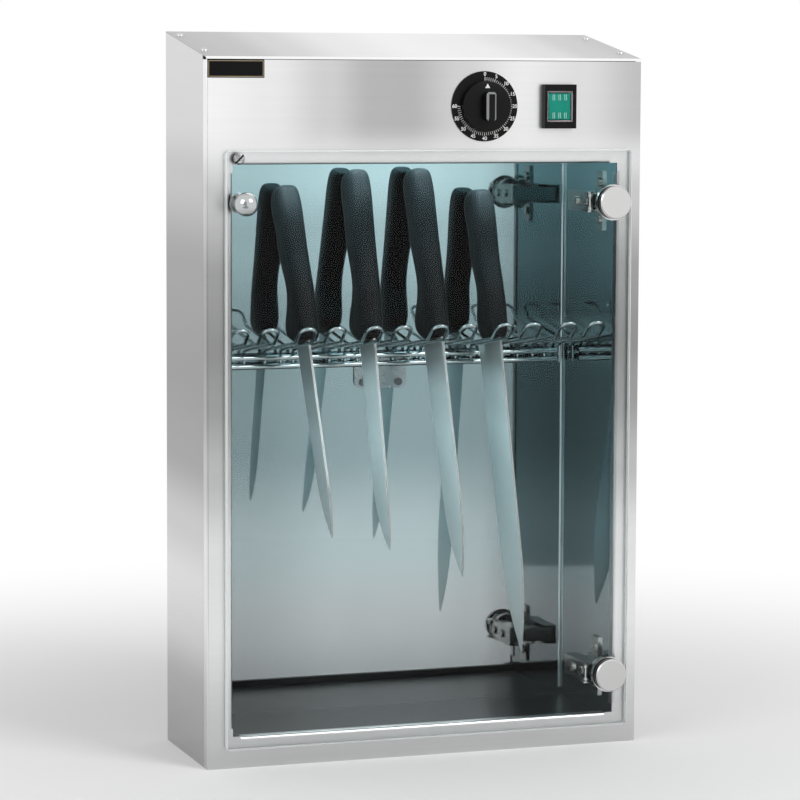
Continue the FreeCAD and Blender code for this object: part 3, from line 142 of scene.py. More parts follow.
# %% A finish and its nodes
class Finish:
    """A material, or the world, that is built as calculations on Values."""

    def __init__(self, name, owners=bpy.data.materials, output="ShaderNodeOutputMaterial"):
        self.material = owners.new(name)
        self.material.use_nodes = True
        self.tree = self.material.node_tree
        self.tree.nodes.clear()
        self.output = self.tree.nodes.new(output)

    def node(self, kind, settings=None, inputs=None, output=0):
        """Adds a node: first its settings, then the values or links of its sockets."""
        made = self.tree.nodes.new("ShaderNode" + kind)
        for name, setting in (settings or {}).items():
            if name == "stops":
                self.ramp(made.color_ramp, setting)
            elif name == "ease":
                made.color_ramp.interpolation = setting
            else:
                setattr(made, name, setting)
        for name, value in (inputs or {}).items():
            if isinstance(value, Value):
                self.tree.links.new(value.socket, made.inputs[name])
            else:
                made.inputs[name].default_value = value
        return Value(self, made.outputs[output])

    def ramp(self, ramp, stops):
        for number, (place, colour) in enumerate(stops):
            stop = ramp.elements[number] if number < 2 else ramp.elements.new(place)
            stop.position = place
            stop.color = colour

    def math(self, operation, first, second=0.0):
        return self.node("Math", {"operation": operation}, {0: first, 1: second})

    def place(self):
        return self.node("TexCoord", output="Object")

    def axis(self, name):
        return self.node("SeparateXYZ", inputs={0: self.place()}, output=name)

    def noise(self, scale, detail=2.0):
        """Soft noise about 0.5; scale is how many spots a metre holds along x, y and z."""
        stretch = self.node("Mapping", inputs={"Vector": self.place(), "Scale": scale})
        return self.node("TexNoise", inputs={"Vector": stretch, "Scale": 1.0, "Detail": detail,
                                             "Roughness": 0.5})

    def even_noise(self, scale, detail=2.0):
        return self.noise((scale, scale, scale), detail)

    def blend(self, factor, first, second):
        """A colour between two colours."""
        return self.node("Mix", {"data_type": "RGBA"}, {0: factor, 6: first, 7: second}, 2)

    def times(self, first, second):
        """One colour multiplied by another."""
        return self.node("Mix", {"data_type": "RGBA", "blend_type": "MULTIPLY"},
                         {0: 1.0, 6: first, 7: second}, 2)

    def tints(self, place, stops):
        """A smooth colour that passes through colours given as (place in metres, colour)."""
        low, high = stops[0][0], stops[-1][0]
        share = (place - low) / (high - low)
        ramp = [((spot - low) / (high - low), tint) for spot, tint in stops]
        return self.node("ValToRGB", {"stops": ramp, "ease": "EASE"}, {0: share})

    def tones(self, place, stops):
        """A smooth grey that passes through levels given as (place in metres, level)."""
        return self.tints(place, [(spot, grey(level)) for spot, level in stops])

    def bump(self, height, distance, strength=1.0):
        return self.node("Bump", inputs={"Height": height, "Distance": distance,
                                         "Strength": strength})

    def surface(self, shader):
        self.tree.links.new(shader.socket, self.output.inputs["Surface"])

    def principled(self, **sockets):
        """The usual shader, with its sockets named in plain words."""
        names = {"colour": "Base Color", "rough": "Roughness", "metal": "Metallic",
                 "normal": "Normal", "ior": "IOR", "clear": "Transmission Weight",
                 "glow": "Emission Color", "glow_strength": "Emission Strength",
                 "gloss": "Specular IOR Level"}
        return self.node("BsdfPrincipled", inputs={names[k]: v for k, v in sockets.items()})

    def shaded(self, **sockets):
        """Ends the finish with the usual shader and gives its material."""
        self.surface(self.principled(**sockets))
        return self.material


def grey(level, warmth=0.0):
    """A neutral colour, or one that leans to red and away from blue."""
    return (level + warmth, level, level - warmth, 1)


def scaled(colour, share):
    return [part * share for part in colour[:3]] + [1]


# %% [markdown]
# ## Floor, background and light
# The photograph is a studio picture on white. Polished steel has almost no colour of its own and
# shows what stands round it, so what the metal sees matters as much as the lamps. The world is
# white. To light a matt surface it counts for less than it does in a reflection, so that the
# lamps can still model the shapes.

# %% World
LIGHTING_STRENGTH, SEEN_STRENGTH = 0.62, 1.0
studio = Finish("white_studio", bpy.data.worlds, "ShaderNodeOutputWorld")
seen = studio.node("LightPath", output="Is Camera Ray")
for kind in ("Is Glossy Ray", "Is Transmission Ray"):
    seen = seen.at_least(studio.node("LightPath", output=kind))
strength = studio.node("Mix", inputs={0: seen, 2: LIGHTING_STRENGTH, 3: SEEN_STRENGTH})
studio.surface(studio.node("Background", inputs={"Color": (1, 1, 1, 1), "Strength": strength}))
bpy.context.scene.world = studio.material
print("world:", studio.material.name)

# %% [markdown]
# The floor is a pale plane. Near the cabinet it is matt and keeps the shadow, and further out it
# fades into the white background, so that no horizon shows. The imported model's nodes are still
# selected after they are loaded, so everything is deselected before a plane is added.

# %% Floor that fades into the background
FLOOR_SIDE, FADE_START, FADE_END = 30, 0.22, 1.1


def nothing_selected():
    bpy.ops.object.select_all(action="DESELECT")


def sheet(name, width, depth, place, turn=(0, 0, 0)):
    """A flat sheet of the studio, which isn't part of the object."""
    nothing_selected()
    bpy.ops.mesh.primitive_plane_add(size=1, location=place, rotation=turn)
    made = bpy.context.object
    made.name = name
    made.scale = (width, depth, 1)
    return made


floor = sheet("floor", FLOOR_SIDE, FLOOR_SIDE, (0, 0, 0))
finish = Finish("pale_floor")
from_middle = finish.node("VectorMath", {"operation": "LENGTH"},
                          {0: finish.node("NewGeometry", output="Position")}, "Value")
paint = finish.node("BsdfDiffuse", inputs={"Color": grey(0.86)})
light = finish.node("Emission", inputs={"Color": grey(1), "Strength": 1.0})
faded = from_middle.above(FADE_START, FADE_END)
finish.surface(finish.node("MixShader", inputs={0: faded, 1: paint, 2: light}))
floor.data.materials.append(finish.material)
print("floor fades between", FADE_START, "and", FADE_END, "m from the middle")

# %% [markdown]
# A photographer puts dark cards round polished metal, because white alone leaves it without
# shape. One card stands beside the camera and one lies on the floor. They put the dark into the
# chamber's right wall, the wires and the ball of the knob, and they show in reflections alone.

# %% Dark cards
CARD_COLOUR = (0.38, 0.43, 0.44, 1)
finish = Finish("dark_card_paint")
finish.surface(finish.node("Emission", inputs={"Color": CARD_COLOUR, "Strength": 1.0}))
cards = [sheet("dark_card", width=2.6, depth=3.2, place=(-2.35, -3.9, 1.3),
               turn=(radians(90), 0, radians(-31))),
         sheet("dark_floor_card", width=0.9, depth=2.8, place=(-0.91, -1.97, 0.002),
               turn=(0, 0, radians(-19)))]
for card in cards:
    card.data.materials.append(finish.material)
    card.visible_camera = False
    card.visible_diffuse = False
    card.visible_shadow = False
print("cards:", [card.name for card in cards])

# %% [markdown]
# Two large soft boxes light the cabinet from the right and, more weakly, from the left.

# %% Lamps
def area_lamp(name, shape, length, watts):
    data = bpy.data.lights.new(name, "AREA")
    data.shape = shape
    data.size = length
    data.energy = watts
    lamp = bpy.data.objects.new(name, data)
    bpy.context.collection.objects.link(lamp)
    return lamp


def soft_box(name, place, aim, side, watts):
    """A square lamp that points at a place on the cabinet."""
    lamp = area_lamp(name, "SQUARE", side, watts)
    lamp.location = place
    lamp.rotation_euler = (Vector(aim) - Vector(place)).to_track_quat("-Z", "Y").to_euler()


soft_box("key", place=(1.1, -1.9, 2.0), aim=(0, 0, 0.35), side=1.1, watts=26)
soft_box("fill", place=(-1.9, -1.2, 1.5), aim=(0, 0, 0.3), side=1.4, watts=12)
print("soft boxes: key and fill")

# %% [markdown]
# The cabinet has a lamp of its own, whose light comes down through the slot of the ceiling. A
# strip lamp just under the slot stands for it, because light from a tube behind a reflector
# would take many more samples.

# %% The cabinet's own lamp
STRIP_DEPTH, STRIP_WATTS, STRIP_SPREAD, STRIP_DROP = 0.03, 1.3, radians(70), 0.001
STRIP_COLOUR = (0.78, 0.95, 1.0)
slot_low, slot_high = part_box("lamp_tube")
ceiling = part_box("chamber_ceiling")[0].z
strip = area_lamp("chamber_lamp", "RECTANGLE", slot_high.x - slot_low.x, STRIP_WATTS)
strip.data.size_y = STRIP_DEPTH
strip.data.spread = STRIP_SPREAD
strip.data.color = STRIP_COLOUR
strip.location = (0, (slot_low.y + slot_high.y) / 2, ceiling - STRIP_DROP)
strip.visible_glossy = False
strip.visible_camera = False
strip.visible_transmission = False
print("chamber lamp: %.3f m long" % strip.data.size)

# %% [markdown]
# ## Stainless steel
# The casing is satin stainless: a belt has left fine scratches that all run across the front.
# Noise that is stretched along the scratches and squeezed across them gives those lines. They
# change the colour a little, the roughness more, and a very shallow bump catches the light.
#
# Polished flat metal also carries wide soft bands, bright and dark, of the room round it. The
# sheet isn't perfectly flat, so these bands stay where its slow waves are. They are painted as
# slow changes of tone along the sheet's height or width.

# %% Brushed steel
SCRATCHES, STREAKS, ALONG_SCRATCH, CLOUDS = 4000.0, 300.0, 8.0, 5.0
SCRATCH_DEPTH, LIP_EDGE, BELOW_HEADER, ABOVE_HEADER = 0.000002, 0.0008, 0.012, 0.03
LIP_HIGHLIGHT_LEVEL, WORN_LEVEL = 0.95, 0.955


def brushed(name, along, fall, stops, rough=0.3, header=None, lip=None):
    """Steel brushed along one axis, whose tone, a painted reflection, changes slowly along
    another.

    stops are (place in metres, level) of the painted reflection along the axis fall, header is a
    height with stops along x for what lies above it, and lip is the place along y in front of
    which
    the sheet is bent over: there it is smoother and carries a painted highlight.
    """
    finish = Finish(name)

    def squeezed(across):
        return [ALONG_SCRATCH if axis == along else across for axis in "xyz"]

    scratches = finish.noise(squeezed(SCRATCHES), 1.0)
    bands = finish.noise(squeezed(STREAKS), 3.0)
    cloud = finish.even_noise(CLOUDS)
    # A painted reflection: a slow tone along the axis fall, and along x above the header.
    painted_light = finish.tones(finish.axis(fall), stops)
    if header:
        height, levels = header
        top = finish.axis("Z").above(height - BELOW_HEADER, height + ABOVE_HEADER)
        painted_light = finish.blend(top, painted_light, finish.tones(finish.axis("X"), levels))
    gloss = 0.0
    # In front of the lip the bend is smoother and carries a painted highlight.
    if lip:
        gloss = 1 - finish.axis("Y").above(lip, lip + LIP_EDGE)
        painted_light = finish.blend(gloss, painted_light, grey(LIP_HIGHLIGHT_LEVEL))
    mark = 0.5 * scratches + 0.5 * bands
    worn = (0.7 * mark + 0.3 * cloud).above(0.3, 0.7)
    shade = finish.blend(worn, grey(WORN_LEVEL), grey(1.0))
    return finish.shaded(
        colour=finish.times(painted_light, shade), metal=1.0,
        rough=rough + 0.06 * (mark - 0.5) + 0.04 * (cloud - 0.5) - 0.12 * gloss,
        normal=finish.bump(mark, SCRATCH_DEPTH, 0.5))


# %% [markdown]
# The tones are painted reflections of the room, and they follow the photograph: the stiles beside
# the door are bright low down and dark in the middle, the header above the door changes from left
# to right, and the side, which turns away, has bands at other heights. The bottom and the back,
# which the photograph doesn't show, have gentle painted reflections of the same kind.

# %% Painted reflections of the sheets
STILE_REFLECTIONS = [(0.0, 0.60), (0.03, 0.66), (0.12, 0.82), (0.18, 0.76), (0.25, 0.50), (0.31, 0.34),
          (0.355, 0.29), (0.41, 0.34), (0.48, 0.56), (0.53, 0.80)]
HEADER_REFLECTIONS = [(-0.195, 0.86), (-0.14, 0.78), (-0.09, 0.60), (-0.05, 0.45), (-0.02, 0.44),
          (0.03, 0.60), (0.085, 0.78), (0.14, 0.68), (0.195, 0.50)]
SIDE_REFLECTIONS = [(0.0, 0.45), (0.06, 0.50), (0.11, 0.68), (0.15, 0.70), (0.2, 0.54), (0.26, 0.29),
        (0.33, 0.25), (0.42, 0.29), (0.5, 0.50), (0.545, 0.64), (0.60, 0.66)]
ROOF_REFLECTIONS = [(-0.195, 0.41), (-0.156, 0.46), (-0.117, 0.60), (-0.06, 0.78), (0.0, 0.86),
        (0.06, 0.83), (0.117, 0.70), (0.156, 0.55), (0.195, 0.48)]
BOTTOM_REFLECTIONS = [(-0.195, 0.50), (-0.06, 0.40), (0.05, 0.36), (0.13, 0.6), (0.195, 0.74)]
BACK_REFLECTIONS = [(0.0, 0.50), (0.15, 0.56), (0.35, 0.50), (0.60, 0.60)]
HEADER_HEIGHT, ROOF_LIP = 0.515, -0.0642
satin_steel = brushed("satin_steel", "x", "Z", STILE_REFLECTIONS, header=(HEADER_HEIGHT, HEADER_REFLECTIONS))
side_steel = brushed("side_steel", "y", "Z", SIDE_REFLECTIONS)
roof_steel = brushed("roof_steel", "x", "X", ROOF_REFLECTIONS, rough=0.32, lip=ROOF_LIP)
bottom_steel = brushed("bottom_steel", "x", "X", BOTTOM_REFLECTIONS, rough=0.32)
back_steel = brushed("back_steel", "x", "Z", BACK_REFLECTIONS, rough=0.34)
dull_steel = brushed("dull_steel", "x", "X", [(-0.2, 0.4), (0.2, 0.46)], rough=0.42)
print("brushed steels:", satin_steel.name, side_steel.name, roof_steel.name)

# %% [markdown]
# The chamber is lined with the same metal polished bright, so that it throws the ultraviolet
# light back on the blades. It is a mirror with a faint wave in it. The lamp above the ceiling
# gives its light to the top of the walls, which are teal there and grey lower down, and the
# back wall darkens towards the corner on the right. Two slow changes of tone paint that.

# %% Mirror steel of the chamber
WAVE_DEPTH, POLISH = 0.0003, 0.035


def mirror(name, falls, across, rough):
    """falls are (height, colour) and across are (place along x, level) of slow painted light."""
    finish = Finish(name)
    wave = finish.even_noise(3.0, 1.0)
    haze = finish.even_noise(9.0, 3.0)
    wipe = finish.noise((60.0, 60.0, 8.0))
    down = finish.tints(finish.axis("Z"), falls)
    tint = finish.times(down, finish.tones(finish.axis("X"), across))
    tint = finish.times(tint, finish.blend(haze.above(0.35, 0.7), grey(1.0), grey(0.95)))
    return finish.shaded(
        colour=tint, metal=1.0, rough=rough + 0.02 * haze.above(0.4, 0.8) + 0.01 * (wipe - 0.5),
        normal=finish.bump(wave, WAVE_DEPTH, 0.25))


WALL_TONES = [(0.02, (0.43, 0.46, 0.47, 1)), (0.09, (0.54, 0.58, 0.59, 1)),
              (0.17, (0.46, 0.56, 0.58, 1)), (0.26, (0.28, 0.38, 0.40, 1)),
              (0.36, (0.27, 0.38, 0.40, 1)), (0.44, (0.38, 0.54, 0.57, 1)),
              (0.50, (0.52, 0.76, 0.80, 1))]
BACK_LEVELS = [(-0.165, 0.58), (-0.13, 0.72), (-0.03, 0.93), (0.04, 0.93), (0.09, 0.8),
               (0.125, 0.58), (0.165, 0.45)]
# The side walls and the ceiling take the same painted light, a fifth brighter than the back.
SIDE_GAIN = 1.2
SIDE_TONES = [(height, scaled(painted_light, SIDE_GAIN)) for height, painted_light in WALL_TONES]
# The chamber's floor is very dark steel, and darker towards its left.
FLOOR_TONE = (0.07, 0.08, 0.083, 1)
back_mirror = mirror("back_mirror_steel", WALL_TONES, BACK_LEVELS, POLISH)
mirror_steel = mirror("mirror_steel", SIDE_TONES, [(-0.2, 1.0), (0.2, 1.0)], POLISH)
floor_steel = mirror("floor_steel", [(0.0, FLOOR_TONE), (0.03, FLOOR_TONE)],
                     [(-0.165, 0.5), (0.0, 1.0), (0.165, 1.0)], rough=0.3)
print("chamber:", mirror_steel.name, back_mirror.name, floor_steel.name)

# %% [markdown]
# ## Small metal
# Chromed wire and the turned knob are smooth and bright; the hinges are nickel plated, a little
# duller and warmer; zinc-plated screws are duller still. One function serves them all: a bright
# metal whose gloss is broken by handling marks.

# %% Bright metals
def bright(name, colour, rough, marks=0.05):
    """Metal of a colour and a roughness, which handling marks raise in spots."""
    finish = Finish(name)
    wear = finish.even_noise(120.0, 3.0)
    patch = finish.even_noise(25.0)
    tint = finish.blend(patch.above(0.35, 0.7), colour, scaled(colour, 0.9))
    return finish.shaded(colour=tint, metal=1.0, rough=rough + marks * wear.above(0.45, 0.75))


chrome = bright("chrome", (0.52, 0.54, 0.54, 1), 0.12)
# The rack's wire, its bracket and the bracket's screws are tinted teal, which is painted light of
# the chamber's lamp, and they are darker than the chrome outside.
rack_chrome = bright("rack_chrome", (0.38, 0.45, 0.46, 1), 0.09)
nickel = bright("hinge_nickel", (0.66, 0.68, 0.66, 1), 0.16, 0.08)
zinc = bright("zinc_screws", (0.62, 0.63, 0.62, 1), 0.26, 0.1)
bracket_steel = bright("bracket_steel", (0.25, 0.31, 0.325, 1), 0.24, 0.08)
bracket_screw_steel = bright("bracket_screw_steel", (0.10, 0.12, 0.125, 1), 0.3, 0.1)
aluminium = bright("reflector_aluminium", (0.82, 0.83, 0.84, 1), 0.2, 0.1)
brass = bright("brass", (0.78, 0.60, 0.30, 1), 0.25, 0.1)
spindle_steel = bright("spindle_steel", (0.55, 0.55, 0.54, 1), 0.3, 0.1)
print("bright metals:", chrome.name, rack_chrome.name, nickel.name)

# %% [markdown]
# The hinge caps are turned discs: a satin face, a polished rim and a groove round the side, whose
# dark is painted shade, and a faint darker ring lies on the rim. The distance from the cap's own
# axis tells face from rim, and both caps share one material, because the height is folded about
# the middle between them.

# %% Turned hinge caps
RINGS, RING_DEPTH = 18000.0, 0.000004
RIM_START, RIM_EDGE, RIM_END = 0.88, 0.91, 0.95
GROOVE_FRONT, GROOVE_BACK, SOFT_EDGE, DARK_LEVEL = 0.0016, 0.0024, 0.0003, 0.03


def turned_caps():
    finish = Finish("cap_steel")
    low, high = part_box("hinge_caps")
    centre_x = (low.x + high.x) / 2
    radius = (high.x - low.x) / 2
    middle = (low.z + high.z) / 2
    apart = (high.z - low.z) / 2 - radius
    across = finish.axis("X") - centre_x
    along = abs(finish.axis("Z") - middle) - apart
    reach = finish.math("SQRT", across * across + along * along)
    rings = finish.math("SINE", reach * RINGS)
    rim = reach.above(radius * RIM_START, radius * RIM_EDGE)
    ring = rim * (1 - reach.above(radius * (RIM_END - 0.02), radius * RIM_END))
    depth = finish.axis("Y")
    behind_front = depth.above(low.y + GROOVE_FRONT, low.y + GROOVE_FRONT + SOFT_EDGE)
    behind_groove = depth.above(high.y - GROOVE_BACK, high.y - GROOVE_BACK + SOFT_EDGE)
    groove_shade = behind_front * (1 - behind_groove)
    cloud = finish.even_noise(70.0)
    plain = finish.blend(rim, grey(0.60, 0.003), grey(0.70, 0.002))
    # The groove's dark is painted shade; the ring on the rim is only darkened a little.
    tint = finish.blend(groove_shade.at_least(0.3 * ring), plain, grey(DARK_LEVEL))
    return finish.shaded(
        colour=tint, metal=1.0, rough=0.36 + 0.05 * (cloud - 0.5) - 0.26 * rim,
        normal=finish.bump(rings * (1 - rim), RING_DEPTH, 0.5))


cap_steel = turned_caps()
print("hinge caps: satin face, polished rim")

# %% [markdown]
# The stud at the door's top left corner presses the door switch. It is the head of a plated
# screw, and the slot across it is too fine to cut, so its shade is painted into the finish as a
# dark stripe.

# %% Slotted stud
SLOT_HALF, SLOT_EDGE = 0.0009, 0.0013


def slotted_stud():
    finish = Finish("stud_steel")
    low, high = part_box("door_stud")
    middle = (low + high) / 2
    aslant = finish.axis("X") - middle.x - (finish.axis("Z") - middle.z)
    # The slot's dark stripe is painted shade.
    slot = 1 - abs(aslant).above(SLOT_HALF, SLOT_EDGE)
    cloud = finish.even_noise(250.0)
    tint = finish.blend(cloud.above(0.35, 0.65), grey(0.30), grey(0.52))
    return finish.shaded(colour=finish.blend(slot, tint, grey(DARK_LEVEL)), metal=1.0,
                         rough=0.2 + 0.1 * cloud)


stud_steel = slotted_stud()
print("stud:", stud_steel.name)

# %% [markdown]
# ## Plastics and paint
# Moulded plastic has a fine spark-eroded grain that dulls its gloss, and it is never quite one
# colour. The knife handles are rougher than the rest, for grip; the timer's knob and the
# switch's frame are smoother. Each gets its colour, roughness, grain in bumps to the metre,
# depth of the grain in metres and gloss.

# %% Moulded plastics
def moulded(name, colour, rough, grain, depth, gloss=0.5):
    """Plastic with a grain of so many bumps to the metre, so many metres deep."""
    finish = Finish(name)
    texture = finish.even_noise(grain)
    handled = finish.even_noise(30.0, 3.0)
    tint = finish.blend(handled.above(0.3, 0.7), colour, scaled(colour, 0.82))
    return finish.shaded(
        colour=tint, gloss=gloss, rough=rough + 0.1 * (handled - 0.5) + 0.06 * (texture - 0.5),
        normal=finish.bump(texture, depth, 0.6))


handle_plastic = moulded("handle_plastic", (0.0026, 0.0038, 0.0042, 1), rough=0.5, grain=600.0,
                         depth=0.0000006, gloss=0.08)
black_plastic = moulded("black_plastic", (0.006, 0.006, 0.0065, 1), 0.30, 2500.0, 0.000001, 0.12)
dial_black = moulded("dial_black", (0.006, 0.006, 0.0065, 1), 0.36, 3000.0, 0.000001, 0.1)
name_black = moulded("name_plate_black", (0.004, 0.004, 0.0045, 1), 0.25, 800.0, 0.000001, 0.1)
white_plastic = moulded("white_plastic", (0.74, 0.74, 0.71, 1), 0.38, 2000.0, 0.00001)
grey_plastic = moulded("grey_plastic", (0.22, 0.23, 0.24, 1), 0.40, 2000.0, 0.00001)
ballast_paint = moulded("ballast_paint", (0.55, 0.56, 0.55, 1), 0.45, 900.0, 0.00002)
print_white = moulded("print_white", (0.86, 0.86, 0.84, 1), 0.5, 3000.0, 0.000004)
teal_plastic = moulded("teal_plastic", (0.004, 0.30, 0.22, 1), 0.3, 3000.0, 0.0000008, 0.1)
print("plastics:", handle_plastic.name, black_plastic.name, teal_plastic.name)

# %% [markdown]
# ## Clear acrylic
# The door is a sheet of clear acrylic. Acrylic has an index of 1.49, at which it would lay a pale
# veil of the white studio over the knives. The photograph was taken without that veil, so the
# index here is lower. Very fine wiping marks roughen the sheet in patches. Its sawn edges are
# only half polished, so they look whitish, and the pale of a second shader, mixed in within two
# millimetres of the outline, is partly that whitish edge and partly a painted highlight of the
# light that the edges gather.

# %% Clear sheet of the door
CLEAR_INDEX, WIPES = 1.15, (40.0, 40.0, 6.0)
EDGE_WIDTH, EDGE_FADE, EDGE_SHARE = 0.0016, 0.0006, 0.62


def door_acrylic():
    """Clear acrylic with half-polished edges."""
    finish = Finish("clear_acrylic")
    low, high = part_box("door_sheet")
    middle, half = (low + high) / 2, (high - low) / 2
    beside = abs(finish.axis("X") - middle.x) - (half.x - EDGE_WIDTH)
    above = abs(finish.axis("Z") - middle.z) - (half.z - EDGE_WIDTH)
    edge = beside.at_least(above).above(0.0, EDGE_FADE)
    wiped = finish.noise(WIPES)
    sheet_shader = finish.principled(colour=(0.985, 0.995, 0.995, 1), clear=1.0, ior=CLEAR_INDEX,
                                     gloss=0.5, rough=0.006 * wiped.above(0.5, 0.8))
    sawn_edge_and_highlight = finish.principled(colour=(0.80, 0.83, 0.83, 1), rough=0.25 + 0.1 * wiped, gloss=0.5)
    finish.surface(finish.node("MixShader",
                               inputs={0: EDGE_SHARE * edge, 1: sheet_shader, 2: sawn_edge_and_highlight}))
    return finish.material


clear_acrylic = door_acrylic()
print("door:", clear_acrylic.name, "index", CLEAR_INDEX)

# %% [markdown]
# The rocker's cover is clear too, but its edges are hidden in the bezel. The lamp's tube is
# quartz and glows faintly teal.

# %% Rocker cover and lamp tube
COVER_HAZE = 0.02


def cover_acrylic():
    finish = Finish("clear_cover")
    haze = COVER_HAZE * finish.noise(WIPES).above(0.5, 0.8)
    return finish.shaded(colour=(0.97, 0.98, 0.98, 1), clear=1.0, ior=CLEAR_INDEX, rough=haze)


def lit_glass():
    finish = Finish("lamp_glass")
    ends = finish.even_noise(30.0, 1.0)
    glow = finish.blend(ends.above(0.3, 0.7), (0.62, 0.92, 1.0, 1), (0.75, 0.97, 1.0, 1))
    return finish.shaded(colour=(0.8, 0.9, 0.92, 1), rough=0.1, glow=glow, glow_strength=4.0)


clear_cover = cover_acrylic()
lamp_glass = lit_glass()
print("cover:", clear_cover.name, "lamp:", lamp_glass.name)

# %% [markdown]
# ## Blades
# A cook's blade is ground from the spine to the edge, and the wheel leaves short scratches that
# run across it. The back of the blade faces the front and is left as it was rolled, so it is
# darker: the direction that a spot faces tells it from the ground sides. Close under the rack
# the blades stand in its shade, which a slow change of tone with height brings in. The
# photograph's steel is pale, half matt and half mirror, so it is only partly metallic here.

# %% Ground blade steel
BLADE_LEVELS = [(0.08, 0.90), (0.17, 1.0), (0.27, 1.0), (0.305, 0.80), (0.335, 0.56),
                (0.36, 0.48)]
WHEEL_MARKS, MARK_DEPTH, METAL_SHARE = (30.0, 60.0, 4000.0), 0.000003, 0.3


def ground_steel():
    finish = Finish("blade_steel")
    wheel = finish.noise(WHEEL_MARKS, 1.0)
    cloud = finish.noise((12.0, 12.0, 7.0))
    # The pale teal of the steel is painted light of the chamber's lamp.
    tint = finish.blend((0.3 * wheel + 0.7 * cloud).above(0.3, 0.7),
                        (0.76, 0.90, 0.92, 1), (0.88, 1.0, 1.0, 1))
    tint = finish.times(tint, finish.tones(finish.axis("Z"), BLADE_LEVELS))
    facing = finish.node("SeparateXYZ", inputs={0: finish.node("TexCoord", output="Normal")},
                         output="Y")
    back = (0 - facing).above(0.6, 0.85)
    return finish.shaded(
        colour=finish.blend(0.8 * back, tint, grey(0.2)), metal=METAL_SHARE,
        rough=0.34 + 0.05 * (wheel - 0.5), normal=finish.bump(wheel, MARK_DEPTH, 0.4))


blade_steel = ground_steel()
print("blades:", blade_steel.name)

# %% [markdown]
# ## Every sub-part gets its finish
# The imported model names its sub-parts, so the finishes are handed out by name. A sub-part that
# this list forgets stops the script.

# %% Finishes by sub-part
FINISHES = {
    satin_steel: "front_panel",
    back_steel: "back_panel",
    side_steel: "left_side_panel right_side_panel",
    bottom_steel: "bottom_panel",
    roof_steel: "roof_cover",
    mirror_steel: "chamber_left_wall chamber_right_wall chamber_ceiling",
    back_mirror: "chamber_back",
    floor_steel: "chamber_floor",
    aluminium: "lamp_reflector lamp_end_caps",
    lamp_glass: "lamp_tube",
    white_plastic: "lamp_holders starter_socket starter terminal_block door_switch_plunger",
    ballast_paint: "ballast",
    brass: "earth_stud",
    grey_plastic: "cable_gland timer_body",
    zinc: "roof_screws timer_screws door_switch_screws hinge_screws",
    bracket_screw_steel: "rack_bracket_screws",
    spindle_steel: "timer_spindle",
    dial_black: "timer_dial",
    black_plastic: "timer_knob switch_housing door_switch_body",
    teal_plastic: "switch_rocker",
    clear_cover: "switch_cover",
    dull_steel: "door_switch_bracket",
    rack_chrome: "rack_fingers rack_rods",
    bracket_steel: "rack_bracket",
    nickel: "hinge_cups hinge_cup_pins hinge_arms hinge_arm_pins hinge_plates hinge_links",
    cap_steel: "hinge_caps",
    clear_acrylic: "door_sheet",
    chrome: "door_knob door_knob_screw",
    stud_steel: "door_stud",
    name_black: "name_plate",
    handle_plastic: "knife_1_handle knife_2_handle knife_3_handle knife_4_handle",
    blade_steel: "knife_1_blade knife_2_blade knife_3_blade knife_4_blade",
}
dressed = set()
for finish_made, names in FINISHES.items():
    for name in names.split():
        for slot in nodes[name].material_slots:
            slot.material = finish_made
        dressed.add(name)
bare = set(nodes) - dressed
if bare:
    raise SystemExit("sub-parts without a finish: " + ", ".join(sorted(bare)))
print("dressed sub-parts:", len(dressed))

# %% [markdown]
# ## Tools for modelling
# Every new piece starts as a primitive at its real size and is then cut, bevelled or joined.
# An operator acts on all that is selected, so every helper first deselects everything or selects
# its piece alone. What repeats is modelled once and copied. The last helper turns the faces
# outward, smooths what is round, gives the finish and lets the piece ride on its body. All sizes
# are in millimetres.

# %% Helpers
MM, STEEP = 0.001, 0.9


def select_alone(piece):
    nothing_selected()
    piece.select_set(True)
    bpy.context.view_layer.objects.active = piece


def block(name, low, high):
    """A box between two corners given in millimetres."""
    nothing_selected()
    low, high = Vector(low) * MM, Vector(high) * MM
    bpy.ops.mesh.primitive_cube_add(size=1, location=(low + high) / 2)
    made = bpy.context.object
    made.name = name
    made.scale = high - low
    placed(made)
    return made


def round_bar(name, centre, radius, length, sides=64, turn=(radians(90), 0, 0), ends="NGON"):
    """A cylinder in millimetres, which points forwards unless it is turned."""
    nothing_selected()
    bpy.ops.mesh.primitive_cylinder_add(
        vertices=sides, radius=radius * MM, depth=length * MM, end_fill_type=ends,
        location=Vector(centre) * MM, rotation=turn)
    made = bpy.context.object
    made.name = name
    placed(made)
    return made


def placed(piece):
    """Puts the piece's place, turn and scale into its mesh."""
    select_alone(piece)
    bpy.ops.object.transform_apply(location=True, rotation=True, scale=True)


def copied(model):
    """A copy with a mesh of its own."""
    made = model.copy()
    made.data = model.data.copy()
    bpy.context.collection.objects.link(made)
    return made


def joined(pieces, name):
    select_alone(pieces[0])
    for piece in pieces[1:]:
        piece.select_set(True)
    bpy.ops.object.join()
    pieces[0].name = name
    return pieces[0]


def with_modifier(piece, kind, **settings):
    """Adds a modifier and applies it."""
    select_alone(piece)
    modifier = piece.modifiers.new("shape", kind)
    for name, setting in settings.items():
        setattr(modifier, name, setting)
    bpy.ops.object.modifier_apply(modifier=modifier.name)


def bevelled(piece, width, segments=3):
    with_modifier(piece, "BEVEL", width=width * MM, segments=segments, limit_method="ANGLE",
                  angle_limit=radians(30))


def opened(piece, wall):
    """Insets the front and the back of a block and joins the two openings."""
    for face in piece.data.polygons:
        face.select = abs(face.normal.y) > STEEP
    bpy.ops.object.mode_set(mode="EDIT")
    bpy.ops.mesh.select_mode(type="FACE")
    bpy.ops.mesh.inset(thickness=wall * MM, depth=0)
    bpy.ops.mesh.bridge_edge_loops()
    bpy.ops.object.mode_set(mode="OBJECT")


